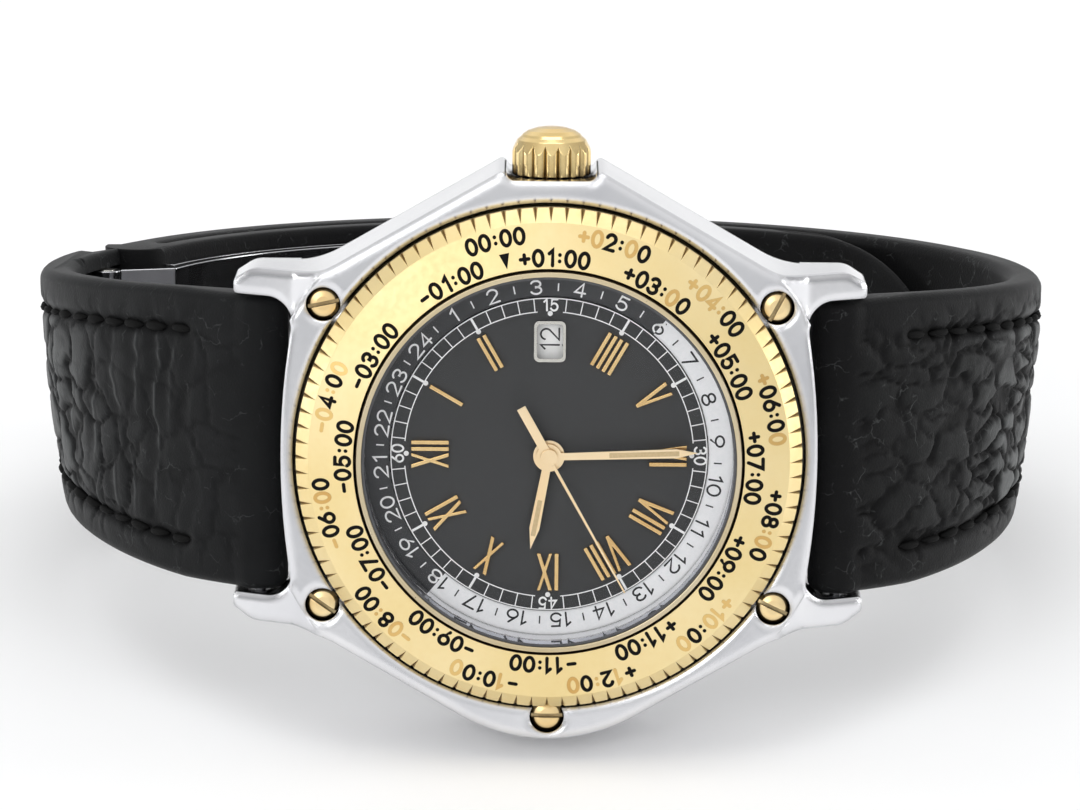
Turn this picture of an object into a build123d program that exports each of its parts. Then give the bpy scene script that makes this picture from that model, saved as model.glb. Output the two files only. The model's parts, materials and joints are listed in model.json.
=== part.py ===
# World time wristwatch: round case with four lugs, rotating two-row bezel, 24-hour ring,
# self-winding movement, leather strap closed in a loop by a folding clasp.
# Layout while building: x runs from 12 o'clock to 6 o'clock, y from 9 o'clock to the crown at
# 3 o'clock, z out of the dial, with z = 0 on the dial's face. All lengths are millimetres.
# At the end the whole watch is leaned back about x, so that it lies as it was photographed:
# on the case's 9 o'clock corner and the lower edge of the strap's back, crown up.

import os
from math import acos, atan2, cos, degrees, hypot, radians, sin, sqrt

from build123d import *

os.makedirs("parts", exist_ok=True)

# Shared small sizes
overrun = 1.0            # how far cutting tools pass the faces they cut
fit_gap = 0.02           # between pieces that are fixed together
run_gap = 0.1            # between pieces that turn past each other
plate_gap = 0.05         # between stacked levels of the movement

# Case
flank_reach = 17.83      # centre to each straight flank of the case
flank_slope = 30         # degrees between a flank and the 12-6 line
case_corner_round = 11.366
case_reach = flank_reach / cos(radians(flank_slope)) - case_corner_round * (1 / cos(radians(flank_slope)) - 1)
case_top = 1.0           # flat top round the bezel, above the dial
case_bottom = -7.0
guard_reach = 18.9       # tips of the two crown guards
crown_notch_half = 2.95
crown_notch_floor = 18.1
crown_notch_corner = 0.6
crown_seat_radius = 2.75  # round seat sunk into the notch's floor for the crown
crown_seat_depth = 0.4
guard_tip_round = 0.3
side_reach = 18.0        # apex of the side between two lugs, before rounding
side_round = 50.0
lug_gap = 20.0           # width between the lugs, the strap's size
lug_root = 16.6          # x of the side at the lug's foot
lug_root_round = 1.7
lug_outer_half = 11.75   # y of the lug's outer edge
lug_shoulder = 15.3      # x where the flank's hollow meets the lug's outer edge
lug_hollow_round = 6.0
lug_knee = 19.5
lug_reach = 20.8
lug_end_half = 10.9
lug_end_round = 0.4
lug_knee_round = 1.6
lug_inner_round = 0.25
lug_drop_start = 15.0    # x where the lug's top starts to fall
lug_drop_mid = 16.8
lug_drop_mid_height = -1.3
lug_tip_top = -3.5
lug_foot = 0.55          # how far the lugs reach below the case's bottom
lug_foot_start = 16.5
bezel_shoulder = 19.1    # radius kept at full height round the bezel and its screws
edge_bevel = 0.2

# Openings of the case, from the front to the back
bezel_bore = 16.75
bezel_floor = 0.1        # floor under the bezel
neck_foot_radius = 13.6
neck_foot_top = 1.2
neck_radius = 12.62      # the neck that carries the crystal
neck_top = 2.1
rehaut_radius = 12.0
rehaut_bottom = -0.05
dial_chamber_radius = 12.6
chamber_top = -1.1
movement_chamber_radius = 14.1

# Bezel screws
screw_count_angles = (34, 146, 214, 326, 270)
screw_slot_angles = (62, 12, -35, -25, 0)
screw_corner_circle = 17.8
screw_foot_circle = 17.3  # the screw at 9 o'clock
screw_circles = 4 * (screw_corner_circle,) + (screw_foot_circle,)
screw_head_radius = 1.05
screw_dome_shares = (0.8, 0.45)
screw_pocket_radius = 1.13
screw_pocket_floor = -0.1
screw_head_top = 0.72
screw_head_edge = 0.42   # height of the head's rim, below its dome
screw_shank_radius = 0.45
screw_shank_bottom = -2.2
screw_slot_width = 0.27
screw_slot_depth = 0.3

# Bezel
bezel_radius = 16.5
bezel_inner = 12.72
bezel_collar_bottom = 2.25
bezel_low_bore = 13.72
bezel_bottom = 0.9
bezel_top_inner = 3.2
bezel_top_outer = 2.5
bezel_land = 15.65       # radius where the notched edge starts
bezel_rim_top = 1.5
notch_count = 100
notch_end = 1.0          # height where the notches' slanting bottoms reach the rim
notch_lead = 0.08        # how far the notching tool starts above the land's edge
notch_margin = 0.2
notch_half_share = 0.46  # half width of a notch at its top, as a share of the notch pitch
spring_inner = 14.4
spring_outer = 15.4
spring_gap = 0.05

# Crystal and its seals
crystal_radius = 12.0
crystal_thickness = 1.2
crystal_edge = 0.15
gasket_width = 0.16
crystal_ring_radius = 12.6
crystal_ring_height = 1.25
crystal_ring_slope = 0.35

# Case back
back_radius = 16.4
back_thickness = 0.8
back_edge = 0.3
thread_inner = 13.1
thread_height = 0.75
thread_gap = 0.05
back_notch_count = 6
back_notch_width = 2.0
back_notch_length = 1.2
back_notch_depth = 0.4
back_gasket_inner = 14.45
back_gasket_outer = 15.05
back_gasket_depth = 0.35

# Crown, tube and stem
stem_height = -3.0       # z of the stem's axis
crown_radius = 2.6
crown_start = 17.9
crown_length = 2.7
crown_dome_length = 0.65
crown_dome_shares = ((0.94, 0.24), (0.77, 0.58), (0.47, 0.87), (0.2, 0.98))   # radius and height of its bends
crown_dome_radius = 2.0
crown_flutes = 18
rib_depth = 0.27         # crest of a rib to the groove beside it
rib_shoulder = ((0.12, 0.68), (0.34, 0.22), (0.6, 0.0))  # in from the crest, down from the end
crown_edge = 0.3
crown_cavity_radius = 1.7
crown_cavity_depth = 1.9
tube_radius = 1.05
tube_bore = 0.65
tube_start = 15.0
tube_end = 19.5
crown_gasket_width = 0.45
crown_gasket_length = 0.6
crown_pull = 1.5
stem_radius = 0.55
stem_start = 7.95
square_start = 8.0
square_end = 11.0
stem_square = 0.7
pinion_radius = 1.0
pinion_root_share = 0.85
pinion_teeth = 15
sliding_start = 8.15
sliding_end = 9.5
winding_start = 9.6
winding_end = 10.9

# Levels of the movement
dial_thickness = 0.4
plate_top = -1.5
plate_thickness = 2.0
gear_space = 1.5
bridge_thickness = 0.6
movement_radius = 12.8
clamp_reach = 0.3         # how far a casing clamp reaches over the movement
clamp_half_angle = 6
movement_ring_inner = 12.85
movement_ring_gap = 0.05
clamp_thickness = 0.25

# Dial and what is on it
dial_radius = 10.4
dial_hole = 0.75
date_centre = 7.5        # centre of the date window from the dial's centre
date_length = 2.7
date_width = 2.08
date_frame_width = 0.2
date_frame_height = 0.22
date_corner = 0.35
numeral_inner = 6.55
numeral_outer = 9.0
numeral_height = 0.28
numeral_thick = 0.25
numeral_thin = 0.2
numeral_step = 0.43      # width that one I takes
numeral_letter = 1.12    # width that a V or X takes
numeral_side = 0.06      # clear space beside a V or X
spacer_inner = 9.35
spacer_outer = 10.15

# 24-hour ring and its drive
ring_visible_inner = 10.45
ring_outer = 12.4
ring_top = -0.15
ring_thickness = 0.2
ring_skirt_outer = 11.3
ring_pitch_radius = 10.6
ring_teeth = 90
drive_small_teeth = 32   # meshes with the ring
drive_large_teeth = 32   # meshes with the hour disc
hour_disc_teeth = 45
drive_low_level = -1.35
drive_high_level = -1.05
drive_thickness = 0.25
drive_post_radius = 0.3
drive_angle = 250

# Date ring
date_ring_inner = 5.9
date_ring_outer = 9.2
date_ring_bottom = -0.75
date_ring_thickness = 0.2
date_teeth = 31
date_tooth_depth = 0.3
date_tooth_shares = (0.7, 0.75, 0.95)

# Motion works under the dial
motion_module = 0.10833
hour_module = 0.104
cannon_teeth = 12
minute_wheel_teeth = 36
minute_pinion_teeth = 10
hour_wheel_teeth = 40
motion_recess_radius = 4.85
motion_recess_depth = 0.65
motion_low_level = -2.1
motion_high_level = -1.75
motion_thickness = 0.25
hour_pipe_radius = 0.6
hour_pipe_bore = 0.44
cannon_pipe_radius = 0.38
cannon_recess_share = 0.5
cannon_pipe_bore = 0.24
minute_post_radius = 0.2

# Going train, between the main plate and the bridges
third_module = 0.095
second_module = 0.1
barrel_module = 0.1
fourth_module = 0.078
barrel_teeth = 84
second_pinion_teeth = 12
second_wheel_teeth = 75
third_pinion_teeth = 10
third_wheel_teeth = 80
fourth_pinion_teeth = 10
fourth_wheel_teeth = 96
escape_pinion_teeth = 8
escape_teeth = 20
escape_radius = 1.9
escape_tooth_shares = (0.55, 0.6, 0.68)
escape_root = 1.45
barrel_angle = 138
barrel_distance = 8.3
second_distance = 4.6
escape_angle = 300
pallet_reach = 2.35      # escape wheel to pallet fork
pallet_angle = 320
balance_reach = 3.2      # pallet fork to balance
balance_angle = 340
wheel_thickness = 0.15
second_wheel_level = -3.8
third_wheel_level = -4.35
fourth_wheel_level = -4.65
escape_level = -4.0
staff_radius = 0.18
fourth_staff_radius = 0.16
hub_radius = 0.45
wheel_rim = 0.35
spoke_width = 0.3
drum_wall = 0.25
drum_height = 1.0
drum_bottom = -4.95
arbor_radius = 0.9
mainspring_turns = 5
mainspring_thickness = 0.12
balance_radius = 3.4
balance_rim = 0.38
balance_level = -4.75
balance_thickness = 0.25
roller_radius = 0.45
hairspring_radius = 1.6
hairspring_turns = 5
hairspring_thickness = 0.05
hairspring_inner = 0.5
hairspring_level = -4.93
hairspring_height = 0.12
fork_width = 0.35
fork_arm_share = 0.72     # of the escape wheel
pallet_shares = (0.6, 1.4)
pallet_bridge_width = 1.3
pallet_bridge_half = 2.6
pallet_bridge_share = 1.6
pallet_bridge_turn = 10
pallet_foot = 0.8

# Winding works on the bridges
ratchet_teeth = 45
crown_wheel_teeth = 30
contrate_teeth = 30
winding_level = -5.85
winding_thickness = 0.2
crown_wheel_y = 8.2
contrate_radius = 2.2
contrate_level = -4.3
contrate_thickness = 0.24
click_width = 0.5
click_length = 1.8
click_hub_radius = 0.32
click_angle = 230        # direction of the click from the barrel

# Bridges: start angle, end angle, foot angles
bridge_outer = 12.6
bridge_inner = 5.2
train_disc = 5.05
foot_inner = 10.9
foot_outer = 12.5
barrel_bridge_angles = (50, 186)
barrel_foot_angles = ((51, 61), (96, 108), (172, 184))
train_bridge_angles = (188, 289)
train_foot_angles = ((190, 205), (262, 287))
cock_angles = (291, 350)
cock_foot_angles = ((292, 297), (342, 349))
cock_inner = 5.7
jewel_radius = 0.55
bridge_screw_radius = 0.5
bridge_screw_height = 0.22
bridge_screw_circle = 11.7
bridge_slot_share = 3     # turn of a slot, as a share of its screw's angle
bridge_screw_angles = (56, 102, 178, 197, 274, 294.5, 345.5)

# Rotor
rotor_radius = 12.3
rotor_plate_top = -5.95
rotor_plate_thickness = 0.3
rotor_rim_bottom = -6.72
rotor_rim_inner = 10.2
rotor_hub_radius = 2.2
rotor_hub_share = 0.9
rotor_window_shares = (0.5, 0.86)
rotor_windows = ((205, 262), (278, 335))
rotor_bearing_outer = 1.4
rotor_bearing_inner = 0.6

# Hands
hour_hand_length = 6.3
hour_hand_shares = (0.8, 0.78)   # width at the hub, place of the shoulder
hour_hand_width = 0.66
hour_hand_level = 0.45
minute_hand_length = 9.7
minute_hand_shares = (0.75, 0.86)
minute_hub_share = 0.8
minute_hand_width = 0.6
minute_hand_level = 0.8
seconds_hand_length = 10.25
seconds_tip_share = 0.5
seconds_hand_width = 0.2
seconds_hand_level = 1.15
seconds_tail_length = 3.75
seconds_tail_width = 0.6
seconds_tail_start = 0.0
hand_thickness = 0.15
seconds_thickness = 0.1
hand_hub = 1.03
seconds_hub = 0.55
seconds_cap_height = 0.12
hour_hand_turn = 280.7   # clockwise from 12 o'clock, in degrees
minute_hand_turn = 178
seconds_hand_turn = 240.6

# Strap loop: an ellipse in the x-z plane
loop_half_width = 33.2
loop_half_depth = 28.2
bar_x = 19.1
bar_z = -4.8
loop_centre = bar_z - loop_half_depth * sqrt(1 - (bar_x / loop_half_width) ** 2)
bar_radius = 0.75
bar_pin_radius = 0.4
bar_pin_length = 1.0
bar_bore = 0.82
strap_end_radius = 1.5
strap_lug_half = 1.9     # half thickness of the padded part next to the lugs
strap_side_half = 1.35   # half thickness further round
strap_pad_angle = 32     # loop angle over which the padding thins out
strap_lug_width_gap = 0.2
strap_mid_half_width = 8.2
strap_mid_depth = -27.0
strap_cut_share = 3
strap_back_half_width = 8.0
strap_layer_gap = 0.15
tail_half = 0.9
tail_tip_angle = -30     # loop angle of the tail's tip
tail_round_start = 19.0  # x where the tail's tip starts to narrow
fold_angle = -156.5      # loop angle of the clasp bar, in the strap's fold
fold_offset = -0.98
fold_radius = 2.28
fold_bore = 0.82
fold_notch_half = 3.6
fold_notch_gap = 0.3     # clears the neck of the upper blade
flap_thickness = 0.95
flap_angle = 199.3       # loop angle where the short strap's flap ends
short_end_angle = 187.5  # loop angle where the short strap's full thickness ends
end_pin_angle = 194.0
end_pin_offset = -0.9
end_pin_radius = 0.6
end_knuckle_radius = 1.05

# Folding clasp
blade_half_width = 6.9
blade_thickness = 0.8
upper_blade_offset = -3.8
lower_blade_offset = -4.75
neck_angle = 0.9         # loop angle from a blade's end to the middle of its neck
blade_bend_angle = 200.5
hinge_angle = -76
hinge_offset = -4.27
hinge_radius = 0.92
hinge_pin_radius = 0.5
hinge_tongue_half = 3.0
hinge_tongue_gap = 0.1
bar_pin_body = 0.62
clasp_bar_length = 15.2
clasp_knuckle_radius = 1.05
clasp_knuckle_half = 3.3
pin_gap = 0.03


# General helpers

def disc(radius, bottom, top):
    return Pos(0, 0, bottom) * extrude(Circle(radius), top - bottom)


def ring(outer, inner, bottom, top):
    return Pos(0, 0, bottom) * extrude(Circle(outer) - Circle(inner), top - bottom)


def turned(points):
    # a solid of revolution about z, from (radius, height) points
    profile = make_face(Polyline(*[(r, 0, z) for r, z in points], close=True))
    return revolve(profile, Axis.Z, 360)


def polar(radius, angle):
    return radius * cos(radians(angle)), radius * sin(radians(angle))


def plate(points, bottom, top):
    outline = make_face(Polyline(*[(x, y, 0) for x, y in points], close=True))
    return Pos(0, 0, bottom) * extrude(outline, top - bottom, dir=(0, 0, 1))


def sector(outer, inner, start, end, bottom, top):
    # part of a flat ring between two angles
    wedge = make_face([
        CenterArc((0, 0), outer, start, end - start),
        Line(polar(outer, end), polar(inner, end)),
        CenterArc((0, 0), inner, end, start - end) if inner > 0 else Line((0, 0), polar(inner, start)),
        Line(polar(inner, start), polar(outer, start)),
    ])
    return Pos(0, 0, bottom) * extrude(wedge, top - bottom, dir=(0, 0, 1))


def clock(turn):
    # angle in the x-y plane of a direction given clockwise from 12 o'clock
    return 180 - turn


def along_y(radius, start, end):
    # a round bar on the stem's axis
    return Pos(0, start, stem_height) * Rot(-90, 0, 0) * extrude(Circle(radius), end - start)


def across(x, z, radius, half_length):
    # a round bar parallel to y in the plane of the strap loop
    return Pos(x, -half_length, z) * Rot(-90, 0, 0) * extrude(Circle(radius), 2 * half_length)


def group(solids):
    return Compound(children=[part_of(s) for s in solids])


def part_of(shape):
    found = shape.solids()
    return found[0] if len(found) == 1 else Compound(children=list(found))


# Gears

addendum_share = 0.9
dedendum_share = 1.25
tooth_root_share = 0.30
tooth_tip_share = 0.11


def toothed(teeth, pitch_radius, module, phase, outward=1):
    # closed outline of straight-sided teeth; a tooth's centre lies at the phase angle
    pitch = 360 / teeth
    tip = pitch_radius + outward * addendum_share * module
    root = pitch_radius - outward * dedendum_share * module
    points = []
    for index in range(teeth):
        centre = phase + index * pitch
        points.append(polar(root, centre - tooth_root_share * pitch))
        points.append(polar(tip, centre - tooth_tip_share * pitch))
        points.append(polar(tip, centre + tooth_tip_share * pitch))
        points.append(polar(root, centre + tooth_root_share * pitch))
    return make_face(Polyline(*points, close=True))


def gear(teeth, module, phase, bottom, thickness, bore=0, spokes=0):
    # a wheel or pinion about z, with a bore and with openings between its spokes
    face = toothed(teeth, teeth * module / 2, module, phase)
    if spokes:
        inside = teeth * module / 2 - dedendum_share * module - wheel_rim
        window = Circle(inside) - Circle(hub_radius + wheel_rim)
        for index in range(spokes):
            window -= Rot(0, 0, index * 360 / spokes) * Pos(inside, 0) * Rectangle(2 * inside, spoke_width)
        face -= window
    if bore:
        face -= Circle(bore)
    return Pos(0, 0, bottom) * extrude(face, thickness, dir=(0, 0, 1))


def mesh_phase(teeth, phase, direction, other_teeth):
    # phase of a gear that meshes with another one, which lies in the opposite direction
    fraction = ((direction - phase) * teeth / 360) % 1
    return direction + 180 + (fraction + 0.5) * 360 / other_teeth


def inner_mesh_phase(teeth, phase, direction, ring_count):
    # phase of an internal gear round a pinion whose centre lies in the given direction
    fraction = ((direction - phase) * teeth / 360) % 1
    return direction + (0.5 - fraction) * 360 / ring_count


def spiral(inner, outer, turns, thickness, bottom, height):
    # a flat spiral strip
    steps_per_turn = 20
    count = turns * steps_per_turn
    mid = []
    for index in range(count + 1):
        share = index / count
        mid.append((inner + (outer - inner) * share, 360 * turns * share))
    points = [polar(r + thickness / 2, a) for r, a in mid] + [polar(r - thickness / 2, a) for r, a in reversed(mid)]
    return plate(points, bottom, bottom + height)


# Places of the movement's axes, from the gear sizes

def apart(one, other):
    return hypot(one[0] - other[0], one[1] - other[1])


def bearing_angle(start, end):
    return degrees(atan2(end[1] - start[1], end[0] - start[0]))


def opposite_angle(near, beside, far):
    # angle at the first corner of a triangle, between the sides near and beside
    return degrees(acos((near ** 2 + beside ** 2 - far ** 2) / (2 * near * beside)))


centre = (0, 0)
third_distance = (third_wheel_teeth + fourth_pinion_teeth) * third_module / 2
second_third_distance = (second_wheel_teeth + third_pinion_teeth) * second_module / 2
barrel_second_distance = (barrel_teeth + second_pinion_teeth) * barrel_module / 2
escape_distance = (fourth_wheel_teeth + escape_pinion_teeth) * fourth_module / 2
motion_distance = (minute_wheel_teeth + cannon_teeth) * motion_module / 2
second_angle = barrel_angle + opposite_angle(second_distance, barrel_distance, barrel_second_distance)
third_angle = second_angle + opposite_angle(second_distance, third_distance, second_third_distance)
minute_wheel_angle = second_angle - degrees(acos(second_distance / 2 / motion_distance))
barrel_at = polar(barrel_distance, barrel_angle)
second_at = polar(second_distance, second_angle)
third_at = polar(third_distance, third_angle)
minute_wheel_at = polar(motion_distance, minute_wheel_angle)
escape_at = polar(escape_distance, escape_angle)
pallet_at = (escape_at[0] + polar(pallet_reach, pallet_angle)[0],
             escape_at[1] + polar(pallet_reach, pallet_angle)[1])
balance_at = (pallet_at[0] + polar(balance_reach, balance_angle)[0],
              pallet_at[1] + polar(balance_reach, balance_angle)[1])
ring_module = 2 * ring_pitch_radius / ring_teeth
drive_distance = ring_pitch_radius - drive_small_teeth * ring_module / 2
disc_module = 2 * drive_distance / (hour_disc_teeth + drive_large_teeth)
drive_at = polar(drive_distance, drive_angle)
crown_wheel_at = (0, crown_wheel_y)
winding_module = 2 * apart(crown_wheel_at, barrel_at) / (ratchet_teeth + crown_wheel_teeth)

plate_bottom = plate_top - plate_thickness
bridge_top = plate_bottom - gear_space
bridge_bottom = bridge_top - bridge_thickness
back_outside = case_bottom - back_thickness


def at(place, shape):
    return Pos(place[0], place[1], 0) * shape


# Phases that bring the teeth into mesh
second_phase = 0
third_pinion_phase = mesh_phase(second_wheel_teeth, second_phase, bearing_angle(second_at, third_at), third_pinion_teeth)
barrel_phase = mesh_phase(second_pinion_teeth, second_phase, bearing_angle(second_at, barrel_at), barrel_teeth)
third_phase = 0
fourth_pinion_phase = mesh_phase(third_wheel_teeth, third_phase, bearing_angle(third_at, centre), fourth_pinion_teeth)
fourth_phase = 0
escape_phase = mesh_phase(fourth_wheel_teeth, fourth_phase, bearing_angle(centre, escape_at), escape_pinion_teeth)
minute_wheel_phase = mesh_phase(second_pinion_teeth, second_phase, bearing_angle(second_at, minute_wheel_at), minute_wheel_teeth)
cannon_phase = mesh_phase(minute_wheel_teeth, minute_wheel_phase, bearing_angle(minute_wheel_at, centre), cannon_teeth)
hour_phase = mesh_phase(minute_pinion_teeth, 0, bearing_angle(minute_wheel_at, centre), hour_wheel_teeth)
drive_phase = mesh_phase(hour_disc_teeth, 0, drive_angle, drive_large_teeth)
ring_phase = inner_mesh_phase(drive_small_teeth, 0, drive_angle, ring_teeth)
ratchet_phase = mesh_phase(crown_wheel_teeth, 0, bearing_angle(crown_wheel_at, barrel_at), ratchet_teeth)


# Case

def flank_height(x):
    # y of the flank's straight line above a given x
    return (flank_reach - x * sin(radians(flank_slope))) / cos(radians(flank_slope))


def case_outline():
    corner = flank_height(0)
    guard_x = crown_notch_half
    lug_inner = lug_gap / 2
    foot_x = (flank_reach - lug_outer_half * cos(radians(flank_slope))) / sin(radians(flank_slope))
    half = [
        (guard_x, crown_notch_floor, crown_notch_corner),
        (guard_x, min(guard_reach, flank_height(guard_x)), guard_tip_round),
        (foot_x, lug_outer_half, lug_hollow_round),
        (lug_knee, lug_outer_half, lug_knee_round),
        (lug_reach, lug_end_half, lug_end_round),
        (lug_reach, lug_inner, lug_inner_round),
        (lug_root, lug_inner, lug_root_round),
    ]
    side = [(side_reach, 0, side_round)]
    lower = [(x, -y, r) for x, y, r in reversed(half[2:])]
    right = half + side + lower
    bottom = [(0, -corner, case_corner_round)]
    left = [(-x, y, r) for x, y, r in reversed(right)]
    corners = right + bottom + left
    line = FilletPolyline(*[(x, y) for x, y, r in corners], radius=[r for x, y, r in corners], close=True)
    return make_face(line)


def make_case_middle():
    outline = case_outline()
    lug_bottom = case_bottom - lug_foot
    shoulder = case_top - edge_bevel
    body = Pos(0, 0, lug_bottom) * extrude(outline, shoulder - lug_bottom, dir=(0, 0, 1))
    body += loft([Pos(0, 0, shoulder) * outline, Pos(0, 0, case_top) * offset(outline, -edge_bevel)])
    # the lugs' tops fall away outside the shoulder round the bezel
    reach = lug_reach + overrun
    slope = make_face(Polyline(
        (lug_drop_start, 0, case_top + overrun),
        (lug_drop_start, 0, case_top),
        (lug_drop_mid, 0, lug_drop_mid_height),
        (lug_reach, 0, lug_tip_top),
        (reach, 0, lug_tip_top),
        (reach, 0, case_top + overrun), close=True))
    fall = extrude(slope, lug_outer_half + overrun, both=True)
    fall -= disc(bezel_shoulder, lug_tip_top - overrun, case_top + 2 * overrun)
    body -= fall
    body -= mirror(fall, Plane.YZ)
    # between the lugs the bottom is flat, so that only the lugs reach lower
    body -= Pos(0, 0, lug_bottom) * Box(2 * lug_foot_start, 2 * case_reach + 2 * overrun, 2 * lug_foot)
    # bores for the movement, the dial and the bezel
    body -= disc(movement_chamber_radius, case_bottom - overrun, chamber_top)
    body -= disc(dial_chamber_radius, chamber_top - overrun, rehaut_bottom)
    body -= disc(rehaut_radius, rehaut_bottom - overrun, neck_top + overrun)
    body -= ring(bezel_bore, neck_radius, bezel_floor, case_top + overrun)
    foot = ring(neck_foot_radius, rehaut_radius, rehaut_bottom, neck_foot_top)
    neck = ring(neck_radius, rehaut_radius, rehaut_bottom, neck_top)
    body += foot
    body += neck
    for angle, circle in zip(screw_count_angles, screw_circles):
        place = polar(circle, angle)
        body -= at(place, disc(screw_pocket_radius, screw_pocket_floor, case_top + overrun))
        body -= at(place, disc(screw_shank_radius + fit_gap, screw_shank_bottom - run_gap, screw_pocket_floor + overrun))
    # crown tube bore, lug holes and the groove of the back's gasket
    body -= along_y(tube_radius + fit_gap, rehaut_radius, crown_notch_floor + overrun)
    body -= along_y(crown_seat_radius, crown_notch_floor - crown_seat_depth, crown_notch_floor + overrun)
    for side in (-1, 1):
        body -= across(side * bar_x, bar_z, bar_pin_radius + fit_gap, lug_gap / 2 + bar_pin_length + fit_gap)
    body -= ring(back_gasket_outer + fit_gap, back_gasket_inner - fit_gap, case_bottom - overrun,
                 case_bottom + back_gasket_depth)
    return body


def make_bezel_screws():
    screws = []
    for angle, circle, slot_angle in zip(screw_count_angles, screw_circles, screw_slot_angles):
        head = turned([
            (0, screw_pocket_floor), (screw_head_radius, screw_pocket_floor),
            (screw_head_radius, screw_head_edge),
            (screw_head_radius * screw_dome_shares[0], (screw_head_edge + screw_head_top) / 2 + run_gap / 2),
            (screw_head_radius * screw_dome_shares[1], screw_head_top), (0, screw_head_top)])
        head += disc(screw_shank_radius, screw_shank_bottom, screw_pocket_floor)
        slot = Pos(0, 0, screw_head_top) * Box(2 * screw_head_radius + overrun, screw_slot_width, 2 * screw_slot_depth)
        head -= Rot(0, 0, slot_angle) * slot
        screws.append(at(polar(circle, angle), head))
    return group(screws)


def make_bezel():
    body = turned([
        (bezel_inner, bezel_top_inner), (bezel_inner, bezel_collar_bottom),
        (bezel_low_bore, bezel_collar_bottom), (bezel_low_bore, bezel_bottom),
        (bezel_radius, bezel_bottom), (bezel_radius, bezel_rim_top),
        (bezel_land, bezel_top_outer)])
    lead = bezel_top_outer + notch_lead
    foot = notch_end + notch_lead
    star = loft([notched_outline(lead), notched_outline(foot)], ruled=True)
    star += disc(bezel_radius + fit_gap, bezel_bottom - notch_lead, foot)
    star += disc(bezel_land - notch_margin, bezel_top_outer, bezel_top_inner + overrun)
    return body & star


def notched_outline(level):
    # V-shaped notches that start at the land and get shallower towards the bezel's bottom edge
    pitch = 360 / notch_count
    share = (level - notch_end) / (bezel_top_outer - notch_end)
    half = notch_half_share * pitch * share
    rim = bezel_radius + fit_gap
    apex = rim - (rim - bezel_land) * share
    points = []
    for index in range(notch_count):
        points.append(polar(rim, index * pitch + half))
        points.append(polar(rim, (index + 1) * pitch - half))
        points.append(polar(apex, (index + 1) * pitch))
    return Pos(0, 0, level) * make_face(Polyline(*points, close=True))


def make_bezel_spring():
    return ring(spring_outer, spring_inner, bezel_floor, bezel_bottom - spring_gap)


def make_crystal():
    top = neck_top + crystal_thickness
    return turned([
        (0, neck_top), (crystal_radius, neck_top), (crystal_radius, top - crystal_edge),
        (crystal_radius - crystal_edge, top), (0, top)])


def make_crystal_gasket():
    inner = crystal_radius + fit_gap
    return ring(inner + gasket_width, inner, neck_top, neck_top + crystal_thickness - crystal_edge)


def make_crystal_ring():
    inner = crystal_radius + gasket_width + 2 * fit_gap
    top = neck_top + crystal_ring_height
    return turned([
        (inner, neck_top), (crystal_ring_radius, neck_top),
        (crystal_ring_radius, top - crystal_ring_slope), (crystal_ring_radius - run_gap, top), (inner, top - fit_gap)])


def make_case_back():
    body = turned([
        (0, back_outside), (back_radius - back_edge, back_outside), (back_radius, back_outside + back_edge),
        (back_radius, case_bottom), (0, case_bottom)])
    body += ring(movement_chamber_radius - thread_gap, thread_inner, case_bottom, case_bottom + thread_height)
    for index in range(back_notch_count):
        turn = Rot(0, 0, index * 360 / back_notch_count)
        place = Pos(back_radius - back_notch_length, 0, back_outside)
        body -= turn * place * Box(back_notch_length, back_notch_width, 2 * back_notch_depth)
    return body


def make_back_gasket():
    return ring(back_gasket_outer, back_gasket_inner, case_bottom, case_bottom + back_gasket_depth - fit_gap)


# Crown and stem

def make_crown_tube():
    return along_y(tube_radius, tube_start, tube_end) - along_y(tube_bore, tube_start - overrun, tube_end + overrun)


def make_crown():
    end = crown_start + crown_length
    # rounded ribs side by side, cut off by a shoulder that leads up to the dome
    step = 360 / crown_flutes
    ribs = [ThreePointArc(polar(crown_radius - rib_depth, index * step), polar(crown_radius, (index + 1 / 2) * step),
                          polar(crown_radius - rib_depth, (index + 1) * step)) for index in range(crown_flutes)]
    shoulder = [(crown_radius - inward, crown_length - down) for inward, down in rib_shoulder]
    dome = [(crown_dome_radius * share, crown_length + crown_dome_length * height) for share, height in crown_dome_shares]
    envelope = turned([(0, 0), (crown_radius - crown_edge, 0), (crown_radius, crown_edge),
                       (crown_radius, crown_length - rib_shoulder[0][1] - crown_edge)] + shoulder + dome
                      + [(0, crown_length + crown_dome_length)])
    body = extrude(make_face(ribs), crown_length + crown_dome_length) & envelope
    body = Pos(0, crown_start, stem_height) * Rot(-90, 0, 0) * body
    body -= along_y(crown_cavity_radius, crown_start - overrun, crown_start + crown_cavity_depth)
    body -= along_y(stem_radius, crown_start, end - crown_edge)
    return body


def make_crown_gasket():
    start = crown_start + crown_cavity_depth - crown_gasket_length - run_gap
    outer = along_y(crown_cavity_radius - fit_gap, start, start + crown_gasket_length)
    return outer - along_y(tube_radius + fit_gap, start - overrun, start + crown_gasket_length + overrun)


def make_winding_stem():
    end = crown_start + crown_length - crown_edge
    stem = along_y(stem_radius, square_end, end)
    square = Pos(0, square_start, stem_height) * Rot(-90, 0, 0) * extrude(
        Rectangle(stem_square, stem_square), square_end - square_start)
    return stem + square


def square_hole(start, end):
    side = stem_square + 2 * fit_gap
    return Pos(0, start, stem_height) * Rot(-90, 0, 0) * extrude(Rectangle(side, side), end - start)


def make_stem_pinion(start, end, teeth):
    face = toothed(teeth, pinion_radius * pinion_root_share, pinion_radius * pinion_root_share / teeth * 2, 0)
    body = Pos(0, start, stem_height) * Rot(-90, 0, 0) * extrude(face, end - start)
    return body - square_hole(start - overrun, end + overrun)


# Movement: fixed pieces

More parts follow.
